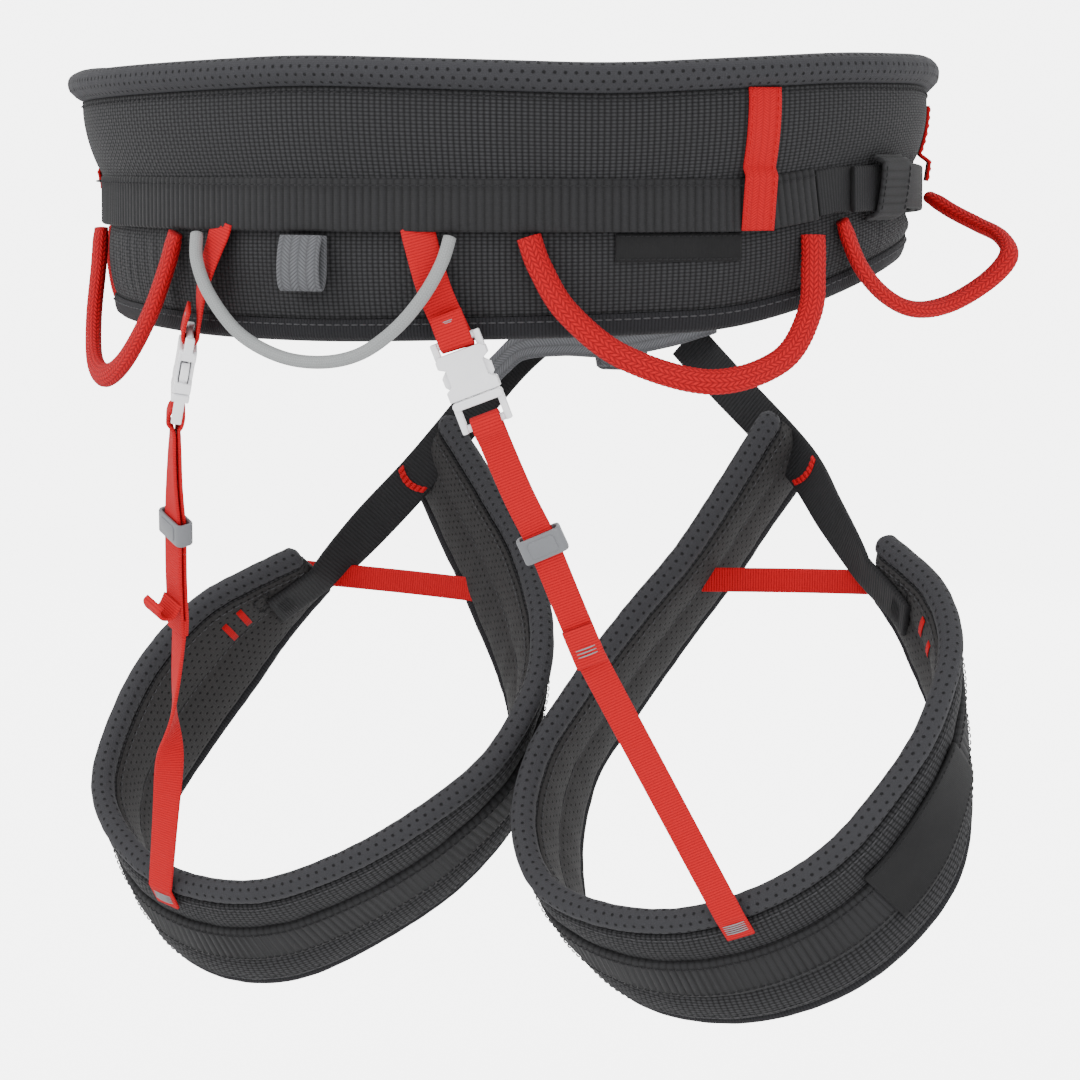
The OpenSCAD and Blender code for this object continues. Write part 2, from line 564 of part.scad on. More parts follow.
// ---- The assembly ----
belt_pad();
belt_rim();
belt_binding();
belt_band();
label_patch();
waist_strap_left();
waist_strap_right();
waist_strap_tail();
waist_keeper();
buckle_frame();
buckle_slider();
tie_in_point();
belay_loop();
side_tape_right();
side_tape_left();
front_tape_right();
front_tape_left();
gear_loop_rear_right();
gear_loop_rear_left();
gear_loop_front_right();
gear_loop_front_left();
haul_tab();
rear_cord();
riser_top_right();
riser_top_left();
clip_socket_right();
clip_socket_left();
clip_plug_right();
clip_plug_left();
riser_fold_right();
riser_fold_left();
riser_keeper_right();
riser_keeper_left();
riser_strap_right();
riser_strap_left();
leg_pad_right();
leg_pad_left();
leg_rim_right();
leg_rim_left();
leg_edge_right();
leg_edge_left();
leg_band_right();
leg_band_left();
leg_label();
leg_strap_right();
leg_strap_left();
leg_elastic_right();
leg_elastic_left();
leg_tie_in();
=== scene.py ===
# %% [markdown]
# A sport climbing harness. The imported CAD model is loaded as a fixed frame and
# each soft part is rebuilt round it from its own middle lines and surfaces, in
# millimetres, then turned into metres. Working from the same few curves keeps
# every piece in the space that its CAD solid holds.

# %% Load the frame
import math

import bmesh
import bpy
import numpy as np
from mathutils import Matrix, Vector


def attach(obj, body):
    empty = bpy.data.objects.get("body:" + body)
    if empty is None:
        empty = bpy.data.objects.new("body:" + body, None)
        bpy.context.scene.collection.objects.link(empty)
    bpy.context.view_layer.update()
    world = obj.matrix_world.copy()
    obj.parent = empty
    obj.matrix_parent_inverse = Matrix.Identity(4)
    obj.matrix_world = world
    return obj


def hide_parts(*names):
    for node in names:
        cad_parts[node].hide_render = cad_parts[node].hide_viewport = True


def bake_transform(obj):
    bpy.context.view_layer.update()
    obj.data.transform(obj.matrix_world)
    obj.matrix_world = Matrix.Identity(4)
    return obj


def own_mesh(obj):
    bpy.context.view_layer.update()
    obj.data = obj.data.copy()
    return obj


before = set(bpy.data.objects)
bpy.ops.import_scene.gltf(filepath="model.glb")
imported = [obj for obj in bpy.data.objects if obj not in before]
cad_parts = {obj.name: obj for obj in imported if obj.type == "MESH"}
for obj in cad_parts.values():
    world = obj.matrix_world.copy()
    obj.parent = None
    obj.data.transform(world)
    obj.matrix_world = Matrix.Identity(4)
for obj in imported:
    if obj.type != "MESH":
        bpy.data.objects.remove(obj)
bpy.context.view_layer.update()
MM = 0.001

# %% [markdown]
# The camera comes first. It looks at the harness from behind, a little to the
# wearer's right and slightly from above, through a long lens, which is how such
# a product is usually shown.

# %% Camera
AIM = Vector((0.013, 0.007, -0.117))
TURN, RISE, DISTANCE = math.radians(29), math.radians(5), 1.63
FOCAL_MM, FILM_MM = 156.5, 36
back = Vector((math.sin(TURN) * math.cos(RISE), -math.cos(TURN) * math.cos(RISE), math.sin(RISE)))
lens = bpy.data.cameras.new("camera")
lens.lens = FOCAL_MM
lens.sensor_width = FILM_MM
camera = bpy.data.objects.new("camera", lens)
camera.location = AIM + back * DISTANCE
camera.rotation_euler = back.to_track_quat("Z", "Y").to_euler()
bpy.context.collection.objects.link(camera)
bpy.context.scene.camera = camera
print("camera at", [round(x, 3) for x in camera.location])

# %% [markdown]
# Curves. Sewn webbing has no corners along its length, so each route is a smooth
# curve through a few points. The helpers work on whole arrays of points.

# %% Curve helpers
def unit(v):
    """The direction of v, one long."""
    v = np.asarray(v, float)
    return v / np.linalg.norm(v, axis=-1, keepdims=True)


def across(v, along):
    """The part of v that is square to along, one long."""
    v = np.broadcast_to(np.asarray(v, float), np.shape(along))
    return unit(v - np.sum(v * along, -1, keepdims=True) * along)


def smooth_at(points, t):
    """The smooth curve through the points at t, counted in points."""
    p = np.asarray(points, float)
    m = len(p) - 1
    t = np.clip(np.asarray(t, float), 0, m)
    i = np.minimum(t.astype(int), m - 1)
    f = (t - i)[..., None]
    a, b, c, d = p[np.maximum(i - 1, 0)], p[i], p[i + 1], p[np.minimum(i + 2, m)]
    return 0.5 * (2 * b + (c - a) * f + (2 * a - 5 * b + 4 * c - d) * f ** 2
                  + (3 * b - a - 3 * c + d) * f ** 3)


def lengths(p):
    """How far along the line each of its points is."""
    return np.concatenate([[0], np.cumsum(np.linalg.norm(np.diff(p, axis=0), axis=1))])


def route(points, step):
    """A smooth curve through the points, evenly spaced about step apart."""
    spans, fine = len(points) - 1, 40
    p = smooth_at(points, np.linspace(0, spans, spans * fine + 1))
    s = lengths(p)
    want = np.linspace(0, s[-1], max(4, int(s[-1] / step) + 1))
    return np.stack([np.interp(want, s, p[:, k]) for k in range(3)], 1)


def headings(p, closed=False):
    if closed:
        return unit(np.roll(p, -1, 0) - np.roll(p, 1, 0))
    q = np.concatenate([p[:1], p, p[-1:]])
    return unit(q[2:] - q[:-2])


quarter = route([[1, 0, 0], [.7, .7, 0], [0, 1, 0]], .1)
print("a quarter circle of three points is", round(lengths(quarter)[-1], 2))

# %% [markdown]
# Meshes. Everything soft is a skin: rings of points one after another, joined by
# quads and closed at the ends. Each skin also gets a map called cloth that holds
# millimetres along and across the fabric, so weaves keep their real size.

# %% Skin builder
def show(name, mesh):
    """Puts a mesh into the scene as a smooth object."""
    mesh.polygons.foreach_set("use_smooth", [True] * len(mesh.polygons))
    obj = bpy.data.objects.new(name, mesh)
    bpy.context.collection.objects.link(obj)
    return obj


def build_mesh(name, verts, faces, cloth):
    """One object from points and faces in millimetres, turned right side out."""
    mesh = bpy.data.meshes.new(name)
    mesh.from_pydata((np.asarray(verts) * MM).tolist(), [], faces)
    layer = mesh.uv_layers.new(name="cloth")
    layer.data.foreach_set("uv", np.asarray(cloth, np.float32).ravel())
    bm = bmesh.new()
    bm.from_mesh(mesh)
    if bm.calc_volume(signed=True) < 0:
        bmesh.ops.reverse_faces(bm, faces=bm.faces)
    bm.to_mesh(mesh)
    bm.free()
    return show(name, mesh)


def skin(name, rings, closed=False):
    """Rings (count, points, 3) in millimetres to one closed object."""
    m, k = rings.shape[:2]
    u = lengths(rings.mean(1))
    if closed:
        u = np.append(u, u[-1] + np.linalg.norm(rings[0].mean(0) - rings[-1].mean(0)))
    v = lengths(np.concatenate([rings[m // 2], rings[m // 2][:1]]))
    rows = m if closed else m - 1
    i, j = np.meshgrid(np.arange(rows), np.arange(k), indexing="ij")
    n, i2 = (j + 1) % k, (i + 1) % m
    quads = np.stack([i * k + j, i * k + n, i2 * k + n, i2 * k + j], -1).reshape(-1, 4)
    corners = ((i, j), (i, j + 1), (i + 1, j + 1), (i + 1, j))
    uv = np.stack([np.stack([u[a], v[b]], -1) for a, b in corners], -2).reshape(-1, 2)
    faces = quads.tolist()
    if not closed:
        first, last = list(range(k))[::-1], [(m - 1) * k + q for q in range(k)]
        faces += [first, last]
        last_uv = [[u[-1], v[q - (m - 1) * k]] for q in last]
        uv = np.concatenate([uv, [[u[0], v[q]] for q in first], last_uv])
    return build_mesh(name, rings.reshape(-1, 3), faces, uv)


def rounded(w, t, r, n=4, flat=4):
    """Points round a rectangle w by t whose corners have radius r."""
    pts = []
    for cx, cy, a0 in ((1, 1, 0), (-1, 1, 90), (-1, -1, 180), (1, -1, 270)):
        for a in np.linspace(a0, a0 + 90, n):
            pts.append([cx * (w / 2 - r) + r * math.cos(math.radians(a)),
                        cy * (t / 2 - r) + r * math.sin(math.radians(a))])
        if cx * cy > 0:
            x0, x1 = cx * (w / 2 - r), -cx * (w / 2 - r)
            pts += [[x, cy * t / 2] for x in np.linspace(x0, x1, flat + 2)[1:-1]]
    return np.array(pts)


def sweep(path, side, section, closed=False):
    """Rings of a section (across, thick) along a path, with side as its width."""
    h = headings(path, closed)
    s = across(side, h)
    n = np.cross(h, s)
    return path[:, None] + s[:, None] * section[None, :, :1] + n[:, None] * section[None, :, 1:]


def finish(obj, material, body, slot, *nodes):
    """Gives a piece its material and the body it rides on, and hides the CAD nodes it stands for."""
    obj.data.materials.clear()
    obj.data.materials.append(material)
    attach(obj, body)
    if nodes:
        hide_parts(*nodes)
    return obj


print("a webbing section has", len(rounded(15, 1.8, .6)), "points")

# %% [markdown]
# Finishes. Fabric looks like fabric because of its weave, so the weaves are
# shader node groups that several materials share: ribs, a net, punched holes and
# a braid. They read the cloth map and put out a height and a mask only.

# %% Node helpers
def add(tree, kind, **values):
    made = tree.nodes.new(kind)
    for key, value in values.items():
        setattr(made, key, value)
    return made


def wire(tree, source, socket):
    if hasattr(source, "is_output"):
        tree.links.new(source, socket)
    else:
        socket.default_value = source


def calc(tree, operation, *sources):
    made = add(tree, "ShaderNodeMath", operation=operation)
    for source, socket in zip(sources, made.inputs):
        wire(tree, source, socket)
    return made.outputs[0]


def new_group(name, inputs, outputs):
    tree = bpy.data.node_groups.new(name, "ShaderNodeTree")
    for label, kind, value in inputs:
        socket = tree.interface.new_socket(label, in_out="INPUT", socket_type=kind)
        if value is not None:
            socket.default_value = value
    for label, kind in outputs:
        tree.interface.new_socket(label, in_out="OUTPUT", socket_type=kind)
    return tree, add(tree, "NodeGroupInput").outputs, add(tree, "NodeGroupOutput").inputs


def parts(tree, vector):
    made = add(tree, "ShaderNodeSeparateXYZ")
    tree.links.new(vector, made.inputs[0])
    return made.outputs[0], made.outputs[1]


def wave(tree, x, pitch):
    """Rounded ridges from 0 to 1, one in every pitch."""
    turns = calc(tree, "MULTIPLY", calc(tree, "DIVIDE", x, pitch), math.pi)
    return calc(tree, "ABSOLUTE", calc(tree, "SINE", turns))


def noise(tree, vector, scale, detail=2.0):
    made = add(tree, "ShaderNodeTexNoise")
    made.inputs["Scale"].default_value = scale
    made.inputs["Detail"].default_value = detail
    wire(tree, vector, made.inputs["Vector"])
    return made.outputs[0]


def new_material(name):
    made = bpy.data.materials.new(name)
    made.use_nodes = True
    return made, made.node_tree, made.node_tree.nodes["Principled BSDF"]


def bumped(tree, shader, height, strength, depth):
    """Lets height tip the shader's normal, depth in millimetres."""
    bump = add(tree, "ShaderNodeBump")
    bump.inputs["Strength"].default_value = strength
    bump.inputs["Distance"].default_value = depth * MM
    wire(tree, height, bump.inputs["Height"])
    wire(tree, bump.outputs[0], shader.inputs["Normal"])


FLOAT, VECTOR, COLOR = "NodeSocketFloat", "NodeSocketVector", "NodeSocketColor"
print("node helpers ready")

# %% [markdown]
# The net is two sets of threads that pass over and under. The holes of a spacer
# mesh stand in staggered rows. The braid is rows of slanting stitches that change
# direction from row to row, which gives sleeves and twills their arrow pattern.

# %% Weave groups
WOVEN = [("Height", FLOAT), ("Thread", FLOAT)]
net, ins, outs = new_group("net_weave", [("Cloth", VECTOR, None), ("Pitch along", FLOAT, 1.0),
                                         ("Pitch across", FLOAT, 1.0)], WOVEN)
x, y = parts(net, ins["Cloth"])
warp, weft = wave(net, x, ins["Pitch along"]), wave(net, y, ins["Pitch across"])
column = calc(net, "FLOOR", calc(net, "DIVIDE", x, ins["Pitch along"]))
line = calc(net, "FLOOR", calc(net, "DIVIDE", y, ins["Pitch across"]))
swap = calc(net, "PINGPONG", calc(net, "ADD", column, line), 1.0)
over = calc(net, "ADD", calc(net, "MULTIPLY", warp, swap),
            calc(net, "MULTIPLY", weft, calc(net, "SUBTRACT", 1.0, swap)))
wire(net, calc(net, "MULTIPLY", over, calc(net, "MAXIMUM", warp, weft)), outs["Height"])
wire(net, calc(net, "POWER", calc(net, "MULTIPLY", warp, weft), 0.7), outs["Thread"])

ribs, ins, outs = new_group("ribs", [("Cloth", VECTOR, None), ("Pitch", FLOAT, 1.0), ("Fine", FLOAT, 0.4)],
                            WOVEN)
x, y = parts(ribs, ins["Cloth"])
coarse, fine = wave(ribs, x, ins["Pitch"]), wave(ribs, y, ins["Fine"])
wire(ribs, calc(ribs, "ADD", coarse, calc(ribs, "MULTIPLY", fine, 0.25)), outs["Height"])
wire(ribs, calc(ribs, "POWER", coarse, 0.6), outs["Thread"])

holes, ins, outs = new_group("punched_holes", [("Cloth", VECTOR, None), ("Pitch", FLOAT, 3.0),
                                               ("Radius", FLOAT, 0.3)], [("Height", FLOAT), ("Hole", FLOAT)])
x, y = parts(holes, ins["Cloth"])
row = calc(holes, "DIVIDE", y, ins["Pitch"])
shift = calc(holes, "MULTIPLY", calc(holes, "PINGPONG", calc(holes, "FLOOR", row), 1.0), 0.5)
cell = calc(holes, "ADD", calc(holes, "DIVIDE", x, ins["Pitch"]), shift)
cx = calc(holes, "SUBTRACT", calc(holes, "FRACT", cell), 0.5)
cy = calc(holes, "SUBTRACT", calc(holes, "FRACT", row), 0.5)
squares = [calc(holes, "POWER", calc(holes, "ABSOLUTE", c), 2.0) for c in (cx, cy)]
away = calc(holes, "SQRT", calc(holes, "ADD", *squares))
edge = add(holes, "ShaderNodeMapRange", interpolation_type="SMOOTHSTEP")
wire(holes, away, edge.inputs["Value"])
wire(holes, calc(holes, "MULTIPLY", ins["Radius"], 0.55), edge.inputs["From Min"])
wire(holes, calc(holes, "MULTIPLY", ins["Radius"], 1.35), edge.inputs["From Max"])
knit = calc(holes, "MULTIPLY", wave(holes, x, 0.9), wave(holes, y, 0.7))
wire(holes, calc(holes, "ADD", edge.outputs[0], calc(holes, "MULTIPLY", knit, 0.18)), outs["Height"])
wire(holes, calc(holes, "SUBTRACT", 1.0, edge.outputs[0]), outs["Hole"])

braid, ins, outs = new_group("braid", [("Cloth", VECTOR, None), ("Pitch", FLOAT, 1.4), ("Row", FLOAT, 2.0),
                                       ("Slant", FLOAT, 1.0)], WOVEN)
x, y = parts(braid, ins["Cloth"])
zig = calc(braid, "PINGPONG", calc(braid, "DIVIDE", y, ins["Row"]), 1.0)
lag = calc(braid, "MULTIPLY", calc(braid, "MULTIPLY", zig, ins["Slant"]), ins["Pitch"])
slanted = wave(braid, calc(braid, "ADD", x, lag), ins["Pitch"])
ridge = calc(braid, "POWER", wave(braid, y, ins["Row"]), 0.5)
wire(braid, calc(braid, "MULTIPLY", slanted, ridge), outs["Height"])
wire(braid, calc(braid, "MULTIPLY", calc(braid, "POWER", slanted, 0.6), calc(braid, "POWER", ridge, 0.7)),
     outs["Thread"])
print("weaves:", [g.name for g in (net, ribs, holes, braid)])

# %% [markdown]
# Real cloth is never one even colour. This group greys it a little in soft
# patches, as dust and rubbing do, and adds fine fibres. Deep parts of the weave
# are darkened by the same group, because little light reaches them.

# %% Worn cloth and painted weave shade group
wear_and_weave_shade, ins, outs = new_group("cloth_wear_and_weave_shade", [("Cloth", VECTOR, None), ("Colour", COLOR, (0.1, 0.1, 0.1, 1)),
                                           ("Deep", FLOAT, 0.5), ("Thread", FLOAT, 1.0),
                                           ("Wear", FLOAT, 0.2)],
                            [("Colour", COLOR), ("Roughness", FLOAT), ("Fibre", FLOAT)])
patch = noise(wear_and_weave_shade, ins["Cloth"], 0.045, 4)
fibre = noise(wear_and_weave_shade, ins["Cloth"], 2.2, 3)
# Painted shade: where Thread is low, in the hollows of the weave, the colour falls to Deep times itself. On
# raised threads it keeps its full value.
lit = calc(wear_and_weave_shade, "MULTIPLY", calc(wear_and_weave_shade, "SUBTRACT", 1.0, ins["Deep"]), ins["Thread"])
light = calc(wear_and_weave_shade, "ADD", ins["Deep"], lit)
speckle = calc(wear_and_weave_shade, "ADD", 0.78, calc(wear_and_weave_shade, "MULTIPLY", fibre, 0.44))
shade = add(wear_and_weave_shade, "ShaderNodeMix", data_type="RGBA", blend_type="MULTIPLY")
shade.inputs[0].default_value = 1.0
wire(wear_and_weave_shade, ins["Colour"], shade.inputs[6])
wire(wear_and_weave_shade, calc(wear_and_weave_shade, "MULTIPLY", light, speckle), shade.inputs[7])
dusty = add(wear_and_weave_shade, "ShaderNodeMix", data_type="RGBA")
rubbed = calc(wear_and_weave_shade, "MULTIPLY", calc(wear_and_weave_shade, "MULTIPLY", patch, ins["Wear"]), ins["Thread"])
wire(wear_and_weave_shade, rubbed, dusty.inputs[0])
wire(wear_and_weave_shade, shade.outputs[2], dusty.inputs[6])
dusty.inputs[7].default_value = (0.2, 0.2, 0.21, 1)
wire(wear_and_weave_shade, dusty.outputs[2], outs["Colour"])
wire(wear_and_weave_shade, calc(wear_and_weave_shade, "ADD", 0.68, calc(wear_and_weave_shade, "MULTIPLY", patch, 0.3)), outs["Roughness"])
wire(wear_and_weave_shade, fibre, outs["Fibre"])
print("worn cloth group made")

# %% [markdown]
# Each cloth finish is that group with one of the weaves and its own colour. The
# red elastic, twill and sleeve share one red and differ in their weave.

# %% Cloth materials

def fabric(name, colour, weave=None, values=(), mask="Thread", depth=0.2, deep=0.35, wear=0.05, sheen=0.015,
           gloss=0.2):
    """A cloth material: a weave group, a colour with dust, fibres and painted shade in the weave's hollows,
    and bump, depth in millimetres.
    """
    made, tree, shader = new_material(name)
    cloth = add(tree, "ShaderNodeUVMap", uv_map="cloth").outputs[0]
    used = add(tree, "ShaderNodeGroup", node_tree=wear_and_weave_shade)
    wire(tree, cloth, used.inputs["Cloth"])
    used.inputs["Colour"].default_value = (*colour, 1)
    # deep sets how dark the painted shade in the weave's hollows gets.
    used.inputs["Deep"].default_value = deep
    used.inputs["Wear"].default_value = wear
    height = used.outputs["Fibre"]
    if weave:
        pattern = add(tree, "ShaderNodeGroup", node_tree=weave)
        wire(tree, cloth, pattern.inputs["Cloth"])
        for key, value in dict(values).items():
            pattern.inputs[key].default_value = value
        thread = pattern.outputs[mask]
        if mask == "Hole":
            thread = calc(tree, "SUBTRACT", 1.0, thread)
        wire(tree, thread, used.inputs["Thread"])
        height = calc(tree, "ADD", pattern.outputs["Height"], calc(tree, "MULTIPLY", height, 0.25))
    bumped(tree, shader, height, 0.9, depth)
    wire(tree, used.outputs["Colour"], shader.inputs["Base Color"])
    wire(tree, used.outputs["Roughness"], shader.inputs["Roughness"])
    shader.inputs["Sheen Weight"].default_value = sheen
    shader.inputs["Specular IOR Level"].default_value = gloss
    shader.inputs["Sheen Roughness"].default_value = 0.5
    return made


RED = (0.46, 0.0015, 0.006)
net_face = fabric("net_face", (0.023, 0.023, 0.025), net, {"Pitch along": 1.9, "Pitch across": 1.25},
                  depth=0.35, deep=0.12, wear=0.10)
spacer = fabric("spacer_mesh", (0.024, 0.024, 0.027), holes, {"Pitch": 3.3, "Radius": 0.17}, mask="Hole",
                depth=0.45, deep=0.22, wear=0.05)
liner = fabric("mesh_liner", (0.021, 0.020, 0.020), holes, {"Pitch": 3.0, "Radius": 0.18}, mask="Hole",
               depth=0.4, deep=0.2, wear=0.04)
grosgrain = fabric("grosgrain", (0.009, 0.009, 0.011), ribs, {"Pitch": 1.1, "Fine": 0.5})
ribbed = fabric("ribbed_webbing", (0.006, 0.006, 0.007), ribs, {"Pitch": 2.7, "Fine": 0.55}, depth=0.25,
                deep=0.25, wear=0.06, gloss=0.35)
plain_web = fabric("plain_webbing", (0.006, 0.006, 0.007), ribs, {"Pitch": 1.3, "Fine": 0.6}, deep=0.4,
                   wear=0.04, gloss=0.3)
red_elastic = fabric("red_elastic", RED, ribs, {"Pitch": 0.95, "Fine": 0.8}, depth=0.18, deep=0.6, wear=0.01,
                     sheen=0.0)
red_twill = fabric("red_twill", RED, braid, {"Pitch": 0.9, "Row": 2.4, "Slant": 1.6}, deep=0.6,
                   wear=0.01, sheen=0.0)
red_sleeve = fabric("red_sleeve", RED, braid, {"Pitch": 1.9, "Row": 1.55, "Slant": 1.0}, depth=0.35,
                    wear=0.02, sheen=0.0)
grey_web = fabric("grey_herringbone", (0.105, 0.107, 0.115), braid, {"Pitch": 1.2, "Row": 3.2, "Slant": 2.0},
                  depth=0.25, deep=0.45, wear=0.05)
grey_cord = fabric("grey_cord", (0.27, 0.28, 0.28), braid, {"Pitch": 0.9, "Row": 0.9, "Slant": 0.8},
                   depth=0.1, deep=0.75, wear=0.03)
satin = fabric("label_satin", (0.003, 0.003, 0.0035), ribs, {"Pitch": 0.5, "Fine": 0.4}, depth=0.05, deep=0.6,
               wear=0.02, gloss=0.3)
black_thread = fabric("black_thread", (0.012, 0.012, 0.013), depth=0.05, wear=0.03)
grey_thread = fabric("grey_thread", (0.22, 0.22, 0.23), depth=0.05, wear=0.03)
red_thread = fabric("red_thread", (0.42, 0.002, 0.006), depth=0.05, wear=0.01)
pale_thread = fabric("pale_thread", (0.045, 0.045, 0.048), depth=0.05, wear=0.03)
print(len(bpy.data.materials), "materials so far")

# %% [markdown]
# The belt is an oval that leans out a little from bottom to top. One function
# gives any point on it from an angle round the waist, a distance off the padding
# and a height, and every belt piece is laid on that surface.

# %% Belt surface
HALF_WIDTH, HALF_DEPTH, PAD, ROLL = 145.0, 121.0, 8.0, 10.5
WEB_TOP, WEB_LOW, WEB_T, GAP = 9.4, -7.6, 2.0, 0.35
LOOP_Z, PAD_END, BAND_END, HEM = -9.1, 150.0, 72.0, 7.0
MM_PER_DEGREE = 2.3
TOP = np.array([[-150, 18], [-125, 38], [-100, 47], [-78, 47], [-60, 44], [-35, 46], [0, 49],
                [40, 46], [75, 50], [100, 50], [120, 46], [135, 34], [150, 18]], float)
LOW = np.array([[-150, -15], [-120, -20], [-95, -36], [-75, -40], [-60, -38.5], [-20, -43], [0, -43.5],
                [40, -41], [58, -39.5], [70, -34.5], [82, -28], [95, -22], [112, -17], [150, -15]], float)


def lean(f, z):
    """How far the belt leans out at a height; one side is drawn in a little."""
    drawn = np.maximum(0, np.cos(np.radians(f + 62))) ** 4
    return 0.14 * z + 0.0005 * z * z + drawn * (np.where(z > 0, 0.1, -0.04) * z - 4.4)


def belt_out(f):
    f = np.radians(f)
    return unit(np.stack([np.sin(f) / HALF_WIDTH, -np.cos(f) / HALF_DEPTH, np.zeros_like(f)], -1))


def belt_along(f):
    f = np.radians(f)
    return unit(np.stack([HALF_WIDTH * np.cos(f), HALF_DEPTH * np.sin(f), np.zeros_like(f)], -1))


def belt(f, off, z):
    """The point at angle f, off from the padding's face and at height z."""
    f, off, z = np.broadcast_arrays(np.asarray(f, float), np.asarray(off, float), np.asarray(z, float))
    r = np.radians(f)
    on_oval = np.stack([HALF_WIDTH * np.sin(r), -HALF_DEPTH * np.cos(r), z], -1)
    return on_oval + belt_out(f) * (off + lean(f, z))[..., None]


def hung(f, off, z):
    """A point of a hanging loop: off is counted from the padding's face at the band."""
    f, z = np.asarray(f, float), np.asarray(z, float)
    return belt(f, off - lean(f, z) + lean(f, np.full_like(f, LOOP_Z)), z)


def table(f, rows):
    return np.interp(f, rows[:, 0], rows[:, 1])


def soft_table(f, rows):
    """The table with its corners rounded off, as cloth would."""
    return sum(table(f + d, rows) for d in (-5, -2.5, 0, 2.5, 5)) / 5


def lift(f):
    """How far the woven band climbs towards the front on the right."""
    return np.interp(f, [62, 76, 98, 128, 150], [0, 4.5, 5.5, 2.5, 0])


def pad_edges(f):
    return soft_table(f, LOW) + HEM + GAP, soft_table(f, TOP) - ROLL - GAP


def puff(f, z):
    """How far the padded face swells between its rows of stitches, with a few soft creases."""
    low, top = pad_edges(f)
    up, down = WEB_TOP + 1 + lift(f), WEB_LOW - 1 + lift(f)
    above = np.clip((z - up) / np.maximum(top - up, 1), 0, 1)
    below = np.clip((z - low) / np.maximum(down - low, 1), 0, 1)
    swell = np.where(z > up, 1.7 * np.sin(np.pi * above) ** 0.7,
                     np.where(z < down, 1.3 * np.sin(np.pi * below) ** 0.7, -0.1))
    folds = (np.sin(f * 0.83 + 1.1 * np.sin(f * 0.21)) * np.sin(f * 0.37 + z * 0.03)
             + 0.6 * np.sin(f * 1.9 + z * 0.09 + 2 * np.sin(f * 0.13)))
    strong = 0.16 + 0.34 * np.exp(-((f + 45) / 22) ** 2)
    fullest = np.sin(np.pi * np.maximum(above, below)) ** 0.5
    return swell + np.where(swell > 0, strong * folds * fullest, 0)


print("waist round the belt:", round(lengths(belt(np.linspace(-180, 180, 361), 0, 0))[-1]), "mm")

# %% [markdown]
# Belt padding: foam between a woven outer net and a mesh lining, held by rows of
# stitches. The outer face swells between the hem, the woven band and the roll.
# Lengthwise channels are sewn into the lining. It is one closed skin, so the
# swelling and the channels are real shape, and it thins towards its sewn ends.

# %% Belt padding
def fade_in(x, over):
    """Eases from 0 to 1 while x goes from 0 to over."""
    x = np.clip(x / over, 0, 1)
    return x * x * (3 - 2 * x)


def belt_padding():
    f = np.linspace(-PAD_END, PAD_END, 620)[:, None]
    low, top = pad_edges(f)
    low, top = low - 0.6, top + 0.8
    s = np.linspace(0, 1, 34)[None]
    z = low + (top - low) * s
    thin = 0.35 + 0.65 * fade_in((PAD_END - np.abs(f)) * MM_PER_DEGREE, 14)
    outer = belt(f, puff(f, z), z)
    channels = np.abs(np.sin(3 * np.pi * s)) ** 0.55
    inner = belt(f, (-PAD + 0.9) * thin - 1.5 * channels * thin, z)
    return skin("belt_padding", np.concatenate([outer, inner[:, ::-1]], 1))


def face_vectors(obj, kind):
    found = np.empty(len(obj.data.polygons) * 3, np.float32)
    obj.data.polygons.foreach_get(kind, found)
    return found.reshape(-1, 3)


def line_with_mesh(obj, inside):
    """The faces marked as inside get the lining's finish."""
    obj.data.materials.append(liner)
    obj.data.polygons.foreach_set("material_index", inside.astype(np.int32))


padding = finish(belt_padding(), net_face, "belt", "woven_mesh", "belt_pad")
outward = face_vectors(padding, "center")[:, :2]
line_with_mesh(padding, (face_vectors(padding, "normal")[:, :2] * outward).sum(1) < 0)
print("belt padding:", len(padding.data.vertices), "points")

# %% [markdown]
# A soft roll of spacer mesh runs along the belt's top edge and a ribbed tape is
# folded over the bottom one. The roll is an oval tube that is pinched where it is
# sewn to the padding; little gathers show along that seam.

# %% Roll and hem
def belt_roll():
    f = np.linspace(-PAD_END - 0.4, PAD_END + 0.4, 900)
    mid_z = soft_table(f, TOP) - ROLL / 2
    gathers = 1 + 0.012 * np.sin(f * 4.1) * np.sin(f * 0.7) + 0.015 * np.sin(f * 1.3)
    ends = 0.55 + 0.45 * fade_in((PAD_END + 0.4 - np.abs(f)) * MM_PER_DEGREE, 9)
    a = np.radians(np.arange(0, 360, 15))
    shape = np.where(np.sin(a) < -0.4, 0.93, 1.0)
    off = -1.8 + np.cos(a)[None] * ROLL / 2 * (gathers * ends)[:, None] * shape
    z = mid_z[:, None] + np.sin(a)[None] * ROLL / 2 * ends[:, None] * shape
    return skin("belt_roll", belt(f[:, None], off, z))


def belt_hem():
    f = np.linspace(-PAD_END - 0.3, PAD_END + 0.3, 500)[:, None]
    low = soft_table(f, LOW)
    section = [(0.75, 7.1), (1.15, 5.5), (1.0, 3.0), (0.5, 1.2), (-0.8, 0.2), (-3.6, -0.3), (-6.4, 0.2),
               (-7.6, 1.4), (-8.1, 3.2), (-8.0, 5.6), (-7.6, 7.1), (-6.4, 6.9), (-3.0, 6.6), (-0.6, 6.9)]
    off = np.array([o for o, _ in section])[None]
    z = low + np.array([h for _, h in section])[None]
    return skin("belt_hem", belt(f, off, z))


finish(belt_roll(), spacer, "belt", "spacer_mesh", "belt_rim")
finish(belt_hem(), grosgrain, "belt", "grosgrain", "belt_binding")
print("roll and hem made")

# %% [markdown]
# Webbing is woven flat, with a rounded edge on each side. The load-bearing band
# round the belt has heavy ribs across it, which are modelled as real ridges: each
# rib is a few rings of the skin, raised along the middle of the webbing.

